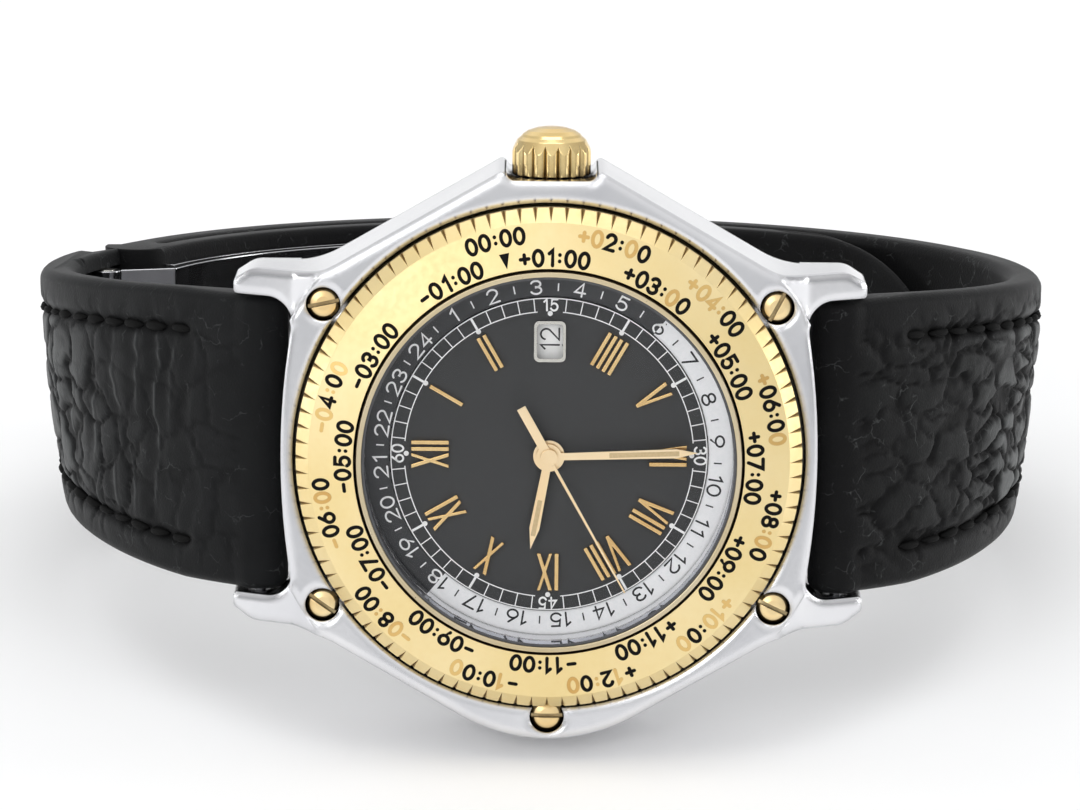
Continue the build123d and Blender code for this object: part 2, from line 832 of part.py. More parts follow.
def make_movement_ring():
    outer = movement_chamber_radius - movement_ring_gap
    body = ring(outer, movement_ring_inner, bridge_bottom, chamber_top - movement_ring_gap)
    return body - along_y(stem_radius + run_gap, movement_ring_inner - overrun, outer + overrun)


def make_casing_clamps():
    clamps = []
    for angle in (30, 210):
        arc = sector(movement_chamber_radius - run_gap, movement_radius - clamp_reach, angle - clamp_half_angle, angle + clamp_half_angle,
                     bridge_bottom - clamp_thickness, bridge_bottom)
        clamps.append(arc)
    return group(clamps)


def make_main_plate():
    body = disc(movement_radius, plate_bottom, plate_top)
    body -= disc(motion_recess_radius, plate_top - motion_recess_depth, plate_top + overrun)
    pocket = second_pinion_teeth * motion_module / 2 + motion_module + run_gap
    body -= at(second_at, disc(pocket, plate_top - motion_recess_depth, plate_top + overrun))
    for place in (centre, second_at):
        body -= at(place, disc(jewel_radius, plate_bottom - overrun, plate_top + overrun))
    for place in (third_at, escape_at, pallet_at, balance_at):
        body -= at(place, disc(jewel_radius, plate_bottom - overrun, plate_bottom + bridge_thickness))
    body += at(minute_wheel_at, disc(minute_post_radius, plate_top - motion_recess_depth, plate_top - run_gap))
    body += at(drive_at, disc(drive_post_radius, plate_top, drive_high_level + drive_thickness - fit_gap))
    # cavity for the stem and its pinions
    half = pinion_radius + run_gap
    cavity_start = sliding_start - 3 * run_gap
    cavity_end = winding_end + run_gap
    body -= Pos(0, (cavity_start + cavity_end) / 2, stem_height) * Box(
        2 * half, cavity_end - cavity_start, 2 * half)
    body -= along_y(stem_radius + run_gap, cavity_end - overrun, movement_radius + overrun)
    return body


def make_feet(angles):
    return [sector(foot_outer, foot_inner, start, end, bridge_top, plate_bottom) for start, end in angles]


def make_barrel_bridge():
    start, end = barrel_bridge_angles
    body = sector(bridge_outer, bridge_inner, start, end, bridge_bottom, bridge_top)
    for foot in make_feet(barrel_foot_angles):
        body += foot
    body -= at(barrel_at, disc(arbor_radius + run_gap, bridge_bottom - overrun, bridge_top + overrun))
    body -= at(crown_wheel_at, disc(arbor_radius + run_gap, bridge_bottom - overrun, bridge_top + overrun))
    return body


def make_train_bridge():
    start, end = train_bridge_angles
    body = disc(train_disc, bridge_bottom, bridge_top)
    body += sector(bridge_outer, hub_radius, start, end, bridge_bottom, bridge_top)
    for foot in make_feet(train_foot_angles):
        body += foot
    for place in (centre, second_at, third_at, escape_at):
        body -= at(place, disc(jewel_radius, bridge_top - bridge_thickness / 2, bridge_top + overrun))
    return body


def make_balance_cock():
    start, end = cock_angles
    body = sector(bridge_outer, cock_inner, start, end, bridge_bottom, bridge_top)
    for foot in make_feet(cock_foot_angles):
        body += foot
    body -= at(balance_at, disc(jewel_radius, bridge_top - bridge_thickness / 2, bridge_top + overrun))
    return body


def make_pallet_bridge():
    base = plate_bottom - escape_bridge_drop()
    bar = Box(pallet_bridge_width, 2 * pallet_bridge_half, wheel_thickness * pallet_bridge_share)
    body = Pos(0, 0, base - wheel_thickness * pallet_bridge_share / 2) * bar
    for side in (-1, 1):
        foot = Box(pallet_bridge_width, pallet_foot, escape_bridge_drop())
        body += Pos(0, side * (pallet_bridge_half - pallet_foot / 2), plate_bottom - escape_bridge_drop() / 2) * foot
    return at(pallet_at, Rot(0, 0, pallet_angle + pallet_bridge_turn) * body)


def escape_bridge_drop():
    # how far below the main plate the pallet bridge lies, clear of the fork
    return plate_bottom - escape_level + run_gap


def make_jewels():
    jewels = []
    full = ((centre, plate_top - motion_recess_depth, plate_bottom, fourth_staff_radius + cannon_pipe_radius * cannon_recess_share),
            (second_at, plate_top - motion_recess_depth, plate_bottom, staff_radius))
    for place, top, bottom, hole in full:
        jewels.append(at(place, ring(jewel_radius, hole + fit_gap, bottom, top)))
    for place in (third_at, escape_at, pallet_at, balance_at):
        jewels.append(at(place, ring(jewel_radius, staff_radius + fit_gap, plate_bottom, plate_bottom + bridge_thickness / 2)))
    for place in (centre, second_at, third_at, escape_at, balance_at):
        jewels.append(at(place, ring(jewel_radius, staff_radius + fit_gap, bridge_top - bridge_thickness / 2, bridge_top)))
    return group(jewels)


def make_bridge_screws():
    screws = []
    for angle in bridge_screw_angles:
        head = disc(bridge_screw_radius, bridge_bottom - bridge_screw_height, bridge_bottom)
        slot = Pos(0, 0, bridge_bottom - bridge_screw_height) * Box(
            2 * bridge_screw_radius + overrun, screw_slot_width / 2, bridge_screw_height)
        screws.append(at(polar(bridge_screw_circle, angle), head - Rot(0, 0, angle * bridge_slot_share) * slot))
    return group(screws)


def make_dial():
    body = disc(dial_radius, -dial_thickness, 0)
    body -= disc(dial_hole, -dial_thickness - overrun, overrun)
    body -= Pos(0, date_centre, 0) * Box(date_width - date_frame_width, date_length - date_frame_width, 2 * overrun)
    return body


def make_date_window_frame():
    outer = RectangleRounded(date_width, date_length, date_corner)
    inner = RectangleRounded(date_width - 2 * date_frame_width, date_length - 2 * date_frame_width,
                             date_corner - date_frame_width / 2)
    return Pos(0, date_centre, 0) * extrude(outer - inner, date_frame_height, dir=(0, 0, 1))


def stroke(x0, y0, x1, y1, width):
    # a bar from one point to another, cut level at both ends
    return make_face(Polyline((x0 - width / 2, y0), (x0 + width / 2, y0), (x1 + width / 2, y1),
                              (x1 - width / 2, y1), close=True))


def numeral_face(letters):
    # upright letters on the x axis, standing between y = 0 and the numeral's height
    height = numeral_outer - numeral_inner
    widths = {"I": numeral_step, "V": numeral_letter, "X": numeral_letter}
    total = sum(widths[letter] for letter in letters)
    x = -total / 2
    face = None
    for letter in letters:
        wide = widths[letter]
        mid = x + wide / 2
        left = x + numeral_side + numeral_thick / 2
        right = x + wide - numeral_side - numeral_thin / 2
        if letter == "I":
            lines = [stroke(mid, 0, mid, height, numeral_thick)]
        elif letter == "V":
            lines = [stroke(mid, 0, left, height, numeral_thick), stroke(mid, 0, right, height, numeral_thin)]
        else:
            lines = [stroke(right, 0, left, height, numeral_thick), stroke(left, 0, right, height, numeral_thin)]
        for line in lines:
            face = line if face is None else face + line
        x += wide
    return face


def make_dial_numerals():
    words = {1: "I", 2: "II", 4: "IIII", 5: "V", 6: "VI", 7: "VII", 8: "VIII", 9: "IX", 10: "X", 11: "XI", 12: "XII"}
    solids = []
    for hour, letters in words.items():
        angle = clock(hour * 30)
        turn = Rot(0, 0, angle - 90)
        solid = extrude(numeral_face(letters), numeral_height, dir=(0, 0, 1))
        placed = turn * Pos(0, numeral_inner, 0) * solid
        solids.extend(placed.solids())
    return group(solids)


def make_dial_spacer():
    body = ring(spacer_outer, spacer_inner, plate_top, -dial_thickness)
    reach = drive_small_teeth * ring_module / 2 + ring_module + 2 * run_gap
    top = drive_high_level + drive_thickness + plate_gap
    body -= at(drive_at, disc(reach, plate_top - overrun, top))
    return body


# Movement: moving pieces

def arbor(radius, bottom, top):
    return disc(radius, bottom, top)


def make_second_wheel():
    body = gear(second_wheel_teeth, second_module, second_phase, second_wheel_level, wheel_thickness, spokes=4)
    body += arbor(staff_radius, bridge_top - bridge_thickness / 2 + fit_gap, motion_low_level)
    body += gear(second_pinion_teeth, barrel_module, second_phase, drum_bottom, 3 * wheel_thickness)
    body += gear(second_pinion_teeth, motion_module, second_phase, motion_low_level, motion_thickness)
    return at(second_at, body)


def make_third_wheel():
    body = gear(third_wheel_teeth, third_module, third_phase, third_wheel_level, wheel_thickness, spokes=4)
    body += arbor(staff_radius, bridge_top - bridge_thickness / 2 + fit_gap, plate_bottom + bridge_thickness / 2)
    body += gear(third_pinion_teeth, second_module, third_pinion_phase, third_wheel_level + wheel_thickness,
                 second_wheel_level - third_wheel_level + plate_gap)
    return at(third_at, body)


def make_fourth_wheel():
    body = gear(fourth_wheel_teeth, fourth_module, fourth_phase, fourth_wheel_level, wheel_thickness, spokes=4)
    top = seconds_hand_level
    body += arbor(fourth_staff_radius, bridge_top - bridge_thickness / 2 + fit_gap, top)
    body += gear(fourth_pinion_teeth, third_module, fourth_pinion_phase, fourth_wheel_level + wheel_thickness,
                 third_wheel_level - fourth_wheel_level + plate_gap)
    return body


def make_escape_wheel():
    points = []
    pitch = 360 / escape_teeth
    for index in range(escape_teeth):
        angle = index * pitch
        points.append(polar(escape_root, angle))
        points.append(polar(escape_radius, angle + escape_tooth_shares[0] * pitch))
        points.append(polar(escape_radius, angle + escape_tooth_shares[2] * pitch))
        points.append(polar(escape_root, angle + escape_tooth_shares[1] * pitch))
    face = make_face(Polyline(*points, close=True))
    face -= Circle(escape_root - wheel_rim) - Circle(hub_radius) - Rectangle(2 * escape_radius, spoke_width) - \
        Rectangle(spoke_width, 2 * escape_radius)
    body = Pos(0, 0, escape_level) * extrude(face, wheel_thickness, dir=(0, 0, 1))
    body += arbor(staff_radius, bridge_top - bridge_thickness / 2 + fit_gap, plate_bottom + bridge_thickness / 2)
    body += gear(escape_pinion_teeth, fourth_module, escape_phase, fourth_wheel_level - plate_gap,
                 wheel_thickness + 2 * plate_gap)
    return at(escape_at, body)


def make_pallet_fork():
    # lever towards the balance, and two arms across the escape wheel's edge
    lever_length = balance_reach - roller_radius - run_gap
    body = Pos(lever_length / 2, 0, 0) * Box(lever_length, fork_width, wheel_thickness)
    arm = escape_radius * fork_arm_share
    back = Rot(0, 0, pallet_angle - balance_angle)
    body += back * Box(fork_width, 2 * arm, wheel_thickness)
    for side in (-1, 1):
        body += back * Pos(-fork_width * pallet_shares[0], side * arm, 0) * Box(fork_width * pallet_shares[1], fork_width * pallet_shares[0], wheel_thickness)
    body = Pos(0, 0, escape_level + wheel_thickness / 2) * Rot(0, 0, balance_angle) * body
    body += arbor(staff_radius, escape_level, plate_bottom + bridge_thickness / 2)
    return at(pallet_at, body)


def make_balance_wheel():
    body = ring(balance_radius, balance_radius - balance_rim, balance_level, balance_level + balance_thickness)
    body += Pos(0, 0, balance_level + balance_thickness / 2) * Box(2 * balance_radius - balance_rim, spoke_width,
                                                                   balance_thickness)
    body += arbor(staff_radius, bridge_top - bridge_thickness / 2 + fit_gap, plate_bottom + bridge_thickness / 2)
    body += arbor(roller_radius, balance_level, balance_level + 2 * balance_thickness)
    return at(balance_at, body)


def make_hairspring():
    return at(balance_at, spiral(hairspring_inner, hairspring_radius, hairspring_turns, hairspring_thickness,
                                 hairspring_level, hairspring_height))


def make_barrel_drum():
    top = drum_bottom + drum_height
    outer = barrel_teeth * barrel_module / 2 - dedendum_share * barrel_module
    body = disc(outer, drum_bottom, top)
    body += gear(barrel_teeth, barrel_module, barrel_phase, drum_bottom, 2 * wheel_thickness)
    body -= disc(outer - drum_wall, drum_bottom + drum_wall, top - drum_wall)
    body -= disc(arbor_radius / 2 + run_gap, drum_bottom - overrun, top + overrun)
    return at(barrel_at, body)


def make_barrel_arbor():
    top = drum_bottom + drum_height
    body = arbor(arbor_radius / 2, winding_level + winding_thickness, plate_bottom - plate_gap)
    body += arbor(arbor_radius, drum_bottom + drum_wall + plate_gap, top - drum_wall - plate_gap)
    return at(barrel_at, body)


def make_mainspring():
    outer = barrel_teeth * barrel_module / 2 - dedendum_share * barrel_module - drum_wall - run_gap
    top = drum_bottom + drum_height
    return at(barrel_at, spiral(arbor_radius + run_gap, outer, mainspring_turns, mainspring_thickness,
                                drum_bottom + drum_wall + plate_gap, top - drum_bottom - 2 * drum_wall - 2 * plate_gap))


def make_ratchet_wheel():
    return at(barrel_at, gear(ratchet_teeth, winding_module, ratchet_phase, winding_level, winding_thickness))


def make_crown_wheel():
    body = gear(crown_wheel_teeth, winding_module, 0, winding_level, winding_thickness)
    body += arbor(arbor_radius, winding_level, contrate_level)
    contrate = contrate_radius / (contrate_teeth / 2 + 1)
    body += gear(contrate_teeth, contrate, 0, contrate_level, contrate_thickness)
    return at(crown_wheel_at, body)


def make_click():
    # pawl beside the ratchet wheel
    reach = ratchet_teeth * winding_module / 2 + winding_module
    place = polar(reach + click_width / 2 + run_gap, click_angle)
    body = Box(click_width, click_length, winding_thickness)
    hub = extrude(Circle(click_hub_radius), winding_thickness / 2, both=True)
    body += Pos(0, click_width / 2 - click_length / 2, 0) * hub
    body = Pos(place[0], place[1], winding_level + winding_thickness / 2) * Rot(0, 0, click_angle) * body
    return at(barrel_at, body)


def click_pivot():
    reach = ratchet_teeth * winding_module / 2 + winding_module + click_width / 2 + run_gap
    x, y = polar(reach, click_angle)
    back_x, back_y = polar(click_length / 2 - click_width / 2, click_angle - 90)
    return barrel_at[0] + x + back_x, barrel_at[1] + y + back_y


def make_minute_wheel():
    body = gear(minute_wheel_teeth, motion_module, minute_wheel_phase, motion_low_level, motion_thickness)
    body += gear(minute_pinion_teeth, hour_module, 0, motion_low_level + motion_thickness,
                 motion_high_level - motion_low_level)
    body -= disc(minute_post_radius + fit_gap, motion_low_level - overrun, overrun)
    return at(minute_wheel_at, body)


def make_cannon_pinion():
    body = gear(cannon_teeth, motion_module, cannon_phase, motion_low_level, motion_thickness)
    body += arbor(cannon_pipe_radius, motion_low_level, minute_hand_level)
    return body - disc(cannon_pipe_bore, motion_low_level - overrun, minute_hand_level + overrun)


def make_hour_wheel():
    body = gear(hour_wheel_teeth, hour_module, hour_phase, motion_high_level, motion_thickness)
    body += gear(hour_disc_teeth, disc_module, 0, drive_low_level, drive_thickness)
    body += arbor(hour_pipe_radius, motion_high_level, hour_hand_level)
    return body - disc(hour_pipe_bore, motion_high_level - overrun, hour_hand_level + overrun)


def make_ring_drive_wheel():
    body = gear(drive_large_teeth, disc_module, drive_phase, drive_low_level, drive_thickness)
    body += gear(drive_small_teeth, ring_module, 0, drive_high_level, drive_thickness)
    body += arbor(drive_post_radius + hub_radius, drive_low_level, drive_high_level)
    body -= disc(drive_post_radius + fit_gap, drive_low_level - overrun, overrun)
    return at(drive_at, body)


def make_hour_ring():
    top = ring(ring_outer, ring_visible_inner, ring_top - ring_thickness, ring_top)
    root = ring_pitch_radius + dedendum_share * ring_module
    skirt = ring(ring_skirt_outer, root, drive_high_level - plate_gap, ring_top - ring_thickness)
    teeth = Circle(ring_skirt_outer) - toothed(ring_teeth, ring_pitch_radius, ring_module, ring_phase, outward=-1)
    band = Pos(0, 0, drive_high_level - plate_gap) * extrude(teeth, drive_thickness + 2 * plate_gap, dir=(0, 0, 1))
    return top + skirt + band


def make_date_ring():
    pitch = 360 / date_teeth
    points = []
    for index in range(date_teeth):
        points.append(polar(date_ring_inner, index * pitch))
        points.append(polar(date_ring_inner, (index + date_tooth_shares[0]) * pitch))
        points.append(polar(date_ring_inner + date_tooth_depth, (index + date_tooth_shares[1]) * pitch))
        points.append(polar(date_ring_inner + date_tooth_depth, (index + date_tooth_shares[2]) * pitch))
    face = Circle(date_ring_outer) - make_face(Polyline(*points, close=True))
    return Pos(0, 0, date_ring_bottom) * extrude(face, date_ring_thickness, dir=(0, 0, 1))


def make_rotor():
    bottom = rotor_plate_top - rotor_plate_thickness
    body = sector(rotor_rim_inner, rotor_hub_radius * rotor_hub_share, 180, 360, bottom, rotor_plate_top)
    for start, end in rotor_windows:
        body -= sector(rotor_rim_inner * rotor_window_shares[1], rotor_rim_inner * rotor_window_shares[0], start, end,
                       bottom - overrun, rotor_plate_top + overrun)
    body += sector(rotor_radius, rotor_rim_inner - run_gap, 176, 364, rotor_rim_bottom, rotor_plate_top)
    body += ring(rotor_hub_radius, rotor_bearing_outer + fit_gap, bottom, rotor_plate_top)
    return body


def make_rotor_bearing():
    bottom = rotor_plate_top - rotor_plate_thickness
    body = ring(rotor_bearing_outer, rotor_bearing_inner, bottom, rotor_plate_top)
    return body + disc(rotor_bearing_inner + plate_gap, bottom - plate_gap, bridge_bottom)


# Hands

def make_hour_hand():
    half = hour_hand_width / 2
    root, shoulder = hour_hand_shares
    points = [(0, -half * root), (hour_hand_length * shoulder, -half), (hour_hand_length, 0),
              (hour_hand_length * shoulder, half), (0, half * root)]
    body = plate(points, hour_hand_level, hour_hand_level + hand_thickness)
    body += disc(hand_hub, hour_hand_level, hour_hand_level + hand_thickness)
    body -= disc(cannon_pipe_radius + run_gap / 2, hour_hand_level - overrun, hour_hand_level + overrun)
    return Rot(0, 0, clock(hour_hand_turn)) * body


def make_minute_hand():
    half = minute_hand_width / 2
    root, shoulder = minute_hand_shares
    points = [(0, -half * root), (minute_hand_length * shoulder, -half), (minute_hand_length, 0),
              (minute_hand_length * shoulder, half), (0, half * root)]
    body = plate(points, minute_hand_level, minute_hand_level + hand_thickness)
    body += disc(hand_hub * minute_hub_share, minute_hand_level, minute_hand_level + hand_thickness)
    body -= disc(fourth_staff_radius + run_gap / 2, minute_hand_level - overrun, minute_hand_level + overrun)
    return Rot(0, 0, clock(minute_hand_turn)) * body


def make_seconds_hand():
    half = seconds_hand_width / 2
    tail = seconds_tail_width / 2
    points = [(-seconds_tail_length, -tail), (-seconds_tail_start, -tail), (-seconds_tail_start, -half),
              (seconds_hand_length, -half * seconds_tip_share), (seconds_hand_length, half * seconds_tip_share), (-seconds_tail_start, half),
              (-seconds_tail_start, tail), (-seconds_tail_length, tail)]
    top = seconds_hand_level + seconds_thickness
    body = plate(points, seconds_hand_level, top)
    body += disc(seconds_hub, seconds_hand_level, top + seconds_cap_height)
    return Rot(0, 0, clock(seconds_hand_turn)) * body


# Strap loop

def loop_point(angle, offset=0):
    # a point on the loop's ellipse, moved outwards by the offset
    x = loop_half_width * cos(radians(angle))
    z = loop_centre + loop_half_depth * sin(radians(angle))
    nx = cos(radians(angle)) / loop_half_width
    nz = sin(radians(angle)) / loop_half_depth
    size = hypot(nx, nz)
    return x + offset * nx / size, z + offset * nz / size


def loop_band(start, end, outer, inner, steps=14):
    # area between two curves that follow the loop; outer and inner give offsets from the angle
    angles = [start + (end - start) * index / steps for index in range(steps + 1)]
    outside = [loop_point(a, outer(a)) for a in angles]
    inside = [loop_point(a, inner(a)) for a in reversed(angles)]
    out = Spline(*[(x, 0, z) for x, z in outside])
    back = Spline(*[(x, 0, z) for x, z in inside])
    return make_face([out, Line(out @ 1, back @ 0), back, Line(back @ 1, out @ 0)])


bar_angle = degrees(acos(bar_x / loop_half_width))


def strap_half(angle):
    # half thickness of the strap, padded next to the lugs
    from_bar = min(abs(angle - bar_angle), abs(angle - (180 - bar_angle)))
    share = min(from_bar / strap_pad_angle, 1)
    eased = share * share * (3 - 2 * share)
    return strap_lug_half + (strap_side_half - strap_lug_half) * eased


def width_limits():
    # the strap's taper, seen from the side
    lug_half = lug_gap / 2 - strap_lug_width_gap
    high = case_top
    low = loop_centre - loop_half_depth - 3 * strap_lug_half
    points = [(lug_half, high), (lug_half, bar_z - strap_lug_half), (strap_mid_half_width, strap_mid_depth),
              (strap_back_half_width, loop_centre - loop_half_depth / 2), (strap_back_half_width, low)]
    both = [(0, y, z) for y, z in points] + [(0, -y, z) for y, z in reversed(points)]
    return extrude(make_face(Polyline(*both, close=True)), loop_half_width + strap_cut_share * strap_lug_half, both=True)


def thick(face, half=None):
    return extrude(face, half or lug_gap / 2, both=True)


def strap_eye(side):
    # rounded end round the spring bar
    return across(side * bar_x, bar_z, strap_end_radius, lug_gap / 2)


def make_strap_long():
    outer = thick(loop_band(bar_angle, fold_angle, strap_half, lambda a: -strap_half(a), steps=24))
    inner_top = -(strap_side_half + strap_layer_gap)
    tail = thick(loop_band(fold_angle, tail_tip_angle, lambda a: inner_top, lambda a: inner_top - 2 * tail_half, steps=18))
    tip_x = loop_point(tail_tip_angle, inner_top)[0]
    length = tip_x - tail_round_start
    low = loop_centre - loop_half_depth
    tip_plan = tip_outline(length)
    tail &= Pos(0, 0, low) * extrude(tip_plan, loop_half_depth * 2, dir=(0, 0, 1))
    fold_x, fold_z = loop_point(fold_angle, fold_offset)
    body = outer + across(fold_x, fold_z, fold_radius, lug_gap / 2)
    body += tail
    body += strap_eye(1)
    body &= width_limits()
    body -= across(bar_x, bar_z, bar_bore, lug_gap)
    body -= across(fold_x, fold_z, fold_bore, lug_gap)
    # notch in the middle of the fold, for the clasp's knuckle
    body -= across(fold_x, fold_z, fold_radius + fold_notch_gap, fold_notch_half)
    return body


def tip_outline(length):
    # plan of the tail: straight sides and a half-elliptic tip
    half = strap_back_half_width + strap_layer_gap
    count = 16
    points = [(-loop_half_width, half), (-loop_half_width, -half)]
    for index in range(count + 1):
        angle = -90 + 180 * index / count
        points.append((tail_round_start + length * cos(radians(angle)), half * sin(radians(angle))))
    return make_face(Polyline(*points, close=True))


def make_strap_short():
    start = 180 - bar_angle
    full = thick(loop_band(start, short_end_angle, strap_half, lambda a: -strap_half(a)))
    flap = thick(loop_band(short_end_angle - strap_layer_gap, flap_angle, lambda a: strap_side_half,
                           lambda a: strap_side_half - flap_thickness, steps=5))
    body = full + flap + strap_eye(-1)
    body &= width_limits()
    return body - across(-bar_x, bar_z, bar_bore, lug_gap)


def make_spring_bars():
    bars = []
    for side in (-1, 1):
        half = lug_gap / 2 - strap_lug_width_gap / 2
        bar = across(side * bar_x, bar_z, bar_radius, half)
        bar += across(side * bar_x, bar_z, bar_pin_radius, lug_gap / 2 + bar_pin_length)
        bars.append(bar)
    return group(bars)


# Folding clasp

def hinge_place():
    return loop_point(hinge_angle, hinge_offset)


def blade(start, end, offset):
    half = blade_thickness / 2
    return thick(loop_band(start, end, lambda a: offset + half, lambda a: offset - half), blade_half_width)


def make_upper_blade():
    x, z = hinge_place()
    fold_x, fold_z = loop_point(fold_angle, fold_offset)
    body = blade(fold_angle, hinge_angle, upper_blade_offset)
    # neck from the blade to its knuckle on the clasp bar
    neck_x, neck_z = loop_point(fold_angle + neck_angle, upper_blade_offset)
    body += neck_plate(fold_x, fold_z, neck_x, neck_z, clasp_knuckle_half)
    body += across(fold_x, fold_z, clasp_knuckle_radius, clasp_knuckle_half)
    body += across(x, z, hinge_radius, blade_half_width)
    body -= across(x, z, hinge_radius + hinge_tongue_gap, hinge_tongue_half + hinge_tongue_gap)
    body -= across(x, z, hinge_pin_radius + pin_gap, lug_gap)
    body -= across(fold_x, fold_z, bar_pin_body + pin_gap, lug_gap)
    return body


def neck_plate(x0, z0, x1, z1, half_width):
    # a flat bar between two points of the loop's plane
    length = hypot(x1 - x0, z1 - z0)
    ux, uz = (x1 - x0) / length, (z1 - z0) / length
    t = blade_thickness / 2
    points = [(x0 - uz * t, 0, z0 + ux * t), (x1 - uz * t, 0, z1 + ux * t), (x1 + uz * t, 0, z1 - ux * t),
              (x0 + uz * t, 0, z0 - ux * t)]
    return thick(make_face(Polyline(*points, close=True)), half_width)


def make_lower_blade():
    x, z = hinge_place()
    pin_x, pin_z = loop_point(end_pin_angle, end_pin_offset)
    body = blade(fold_angle, hinge_angle, lower_blade_offset)
    # the blade's end comes out beside the strap's fold, to the pin of the short strap
    bend = [loop_point(fold_angle + neck_angle, lower_blade_offset), loop_point(blade_bend_angle, lower_blade_offset)]
    body += neck_plate(bend[0][0], bend[0][1], bend[1][0], bend[1][1], blade_half_width)
    body += neck_plate(bend[1][0], bend[1][1], pin_x, pin_z, blade_half_width)
    body += across(bend[1][0], bend[1][1], blade_thickness / 2, blade_half_width)
    body += across(pin_x, pin_z, end_knuckle_radius, blade_half_width)
    # only the tongue in the middle reaches the hinge
    beside = across(x, z, hinge_radius + hinge_tongue_gap, blade_half_width + overrun)
    beside -= across(x, z, hinge_radius + overrun, hinge_tongue_half)
    body -= beside
    body += across(x, z, hinge_radius, hinge_tongue_half)
    body -= across(x, z, hinge_pin_radius + pin_gap, lug_gap)
    return body - across(pin_x, pin_z, end_pin_radius + pin_gap, lug_gap)


def make_end_pin():
    x, z = loop_point(end_pin_angle, end_pin_offset)
    return across(x, z, end_pin_radius, blade_half_width + pin_gap)


def make_clasp_pins():
    x, z = hinge_place()
    fold_x, fold_z = loop_point(fold_angle, fold_offset)
    return group([across(x, z, hinge_pin_radius, blade_half_width), across(fold_x, fold_z, bar_pin_body, clasp_bar_length / 2)])


pieces = {
    "case_middle": make_case_middle(),
    "case_back": make_case_back(),
    "case_back_gasket": make_back_gasket(),
    "bezel_screws": make_bezel_screws(),
    "bezel": make_bezel(),
    "bezel_spring": make_bezel_spring(),
    "crystal": make_crystal(),
    "crystal_gasket": make_crystal_gasket(),
    "crystal_ring": make_crystal_ring(),
    "crown_tube": make_crown_tube(),
    "crown": make_crown(),
    "crown_gasket": make_crown_gasket(),
    "winding_stem": make_winding_stem(),
    "sliding_pinion": make_stem_pinion(sliding_start, sliding_end, pinion_teeth),
    "winding_pinion": make_stem_pinion(winding_start, winding_end, pinion_teeth),
    "crown_wheel": make_crown_wheel(),
    "ratchet_wheel": make_ratchet_wheel(),
    "click": make_click(),
    "barrel_arbor": make_barrel_arbor(),
    "barrel_drum": make_barrel_drum(),
    "mainspring": make_mainspring(),
    "second_wheel": make_second_wheel(),
    "third_wheel": make_third_wheel(),
    "fourth_wheel": make_fourth_wheel(),
    "escape_wheel": make_escape_wheel(),
    "pallet_fork": make_pallet_fork(),
    "pallet_bridge": make_pallet_bridge(),
    "balance_wheel": make_balance_wheel(),
    "hairspring": make_hairspring(),
    "cannon_pinion": make_cannon_pinion(),
    "minute_wheel": make_minute_wheel(),
    "hour_wheel": make_hour_wheel(),
    "ring_drive_wheel": make_ring_drive_wheel(),
    "hour_ring_24": make_hour_ring(),
    "date_ring": make_date_ring(),
    "rotor": make_rotor(),
    "rotor_bearing": make_rotor_bearing(),
    "main_plate": make_main_plate(),
    "barrel_bridge": make_barrel_bridge(),
    "train_bridge": make_train_bridge(),
    "balance_cock": make_balance_cock(),
    "bridge_screws": make_bridge_screws(),
    "jewels": make_jewels(),
    "movement_ring": make_movement_ring(),
    "casing_clamps": make_casing_clamps(),
    "dial": make_dial(),
    "dial_numerals": make_dial_numerals(),
    "date_window_frame": make_date_window_frame(),
    "dial_spacer": make_dial_spacer(),
    "hour_hand": make_hour_hand(),
    "minute_hand": make_minute_hand(),
    "seconds_hand": make_seconds_hand(),
    "spring_bars": make_spring_bars(),
    "strap_long": make_strap_long(),
    "strap_short": make_strap_short(),
    "clasp_upper_blade": make_upper_blade(),
    "clasp_lower_blade": make_lower_blade(),
    "clasp_pins": make_clasp_pins(),
    "clasp_end_pin": make_end_pin(),
}

# Lean the watch back until the case's lower corner and the strap's lower edge are level
loop_back = loop_centre - loop_half_depth - strap_side_half
lean = degrees(atan2(case_reach - strap_back_half_width, case_bottom - loop_back))
leaned = {name: Rot(90 - lean, 0, 0) * shape for name, shape in pieces.items()}
box = Compound(children=[part_of(shape) for shape in leaned.values()]).bounding_box()
shift = (-(box.min.X + box.max.X) / 2, -(box.min.Y + box.max.Y) / 2, -box.min.Z)

for name, shape in leaned.items():
    solid = Pos(*shift) * part_of(shape)
    export_step(solid, f"parts/{name}.step")


def told(label, place):
    # print where a point of the build's own layout ends up
    x, y, z = place
    turn = radians(90 - lean)
    moved = (x + shift[0], y * cos(turn) - z * sin(turn) + shift[1], y * sin(turn) + z * cos(turn) + shift[2])
    print(label, *[f"{value:.6f}" for value in moved])


print("lean", repr(lean), "box", box.size.X, box.size.Y, box.size.Z)
told("place centre", (0, 0, 0))
told("place stem", (0, crown_start, stem_height))
told("place back", (0, 0, back_outside))
for label, spot in (("second", second_at), ("third", third_at), ("barrel", barrel_at), ("escape", escape_at),
                    ("pallet", pallet_at), ("balance", balance_at), ("minute_wheel", minute_wheel_at),
                    ("drive", drive_at), ("crown_wheel", crown_wheel_at), ("click", click_pivot())):
    told(f"place {label}", (spot[0], spot[1], 0))
told("place bar_6", (bar_x, 0, bar_z))
told("place bar_12", (-bar_x, 0, bar_z))
told("place fold", (loop_point(fold_angle, fold_offset)[0], 0, loop_point(fold_angle, fold_offset)[1]))
told("place hinge", (hinge_place()[0], 0, hinge_place()[1]))
told("place end_pin", (loop_point(end_pin_angle, end_pin_offset)[0], 0, loop_point(end_pin_angle, end_pin_offset)[1]))
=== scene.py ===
import json
import random
from math import acos, atan2, copysign, cos, degrees, exp, hypot, pi, radians, sin, sqrt

import bpy
import numpy as np
from mathutils import Matrix, Vector, noise


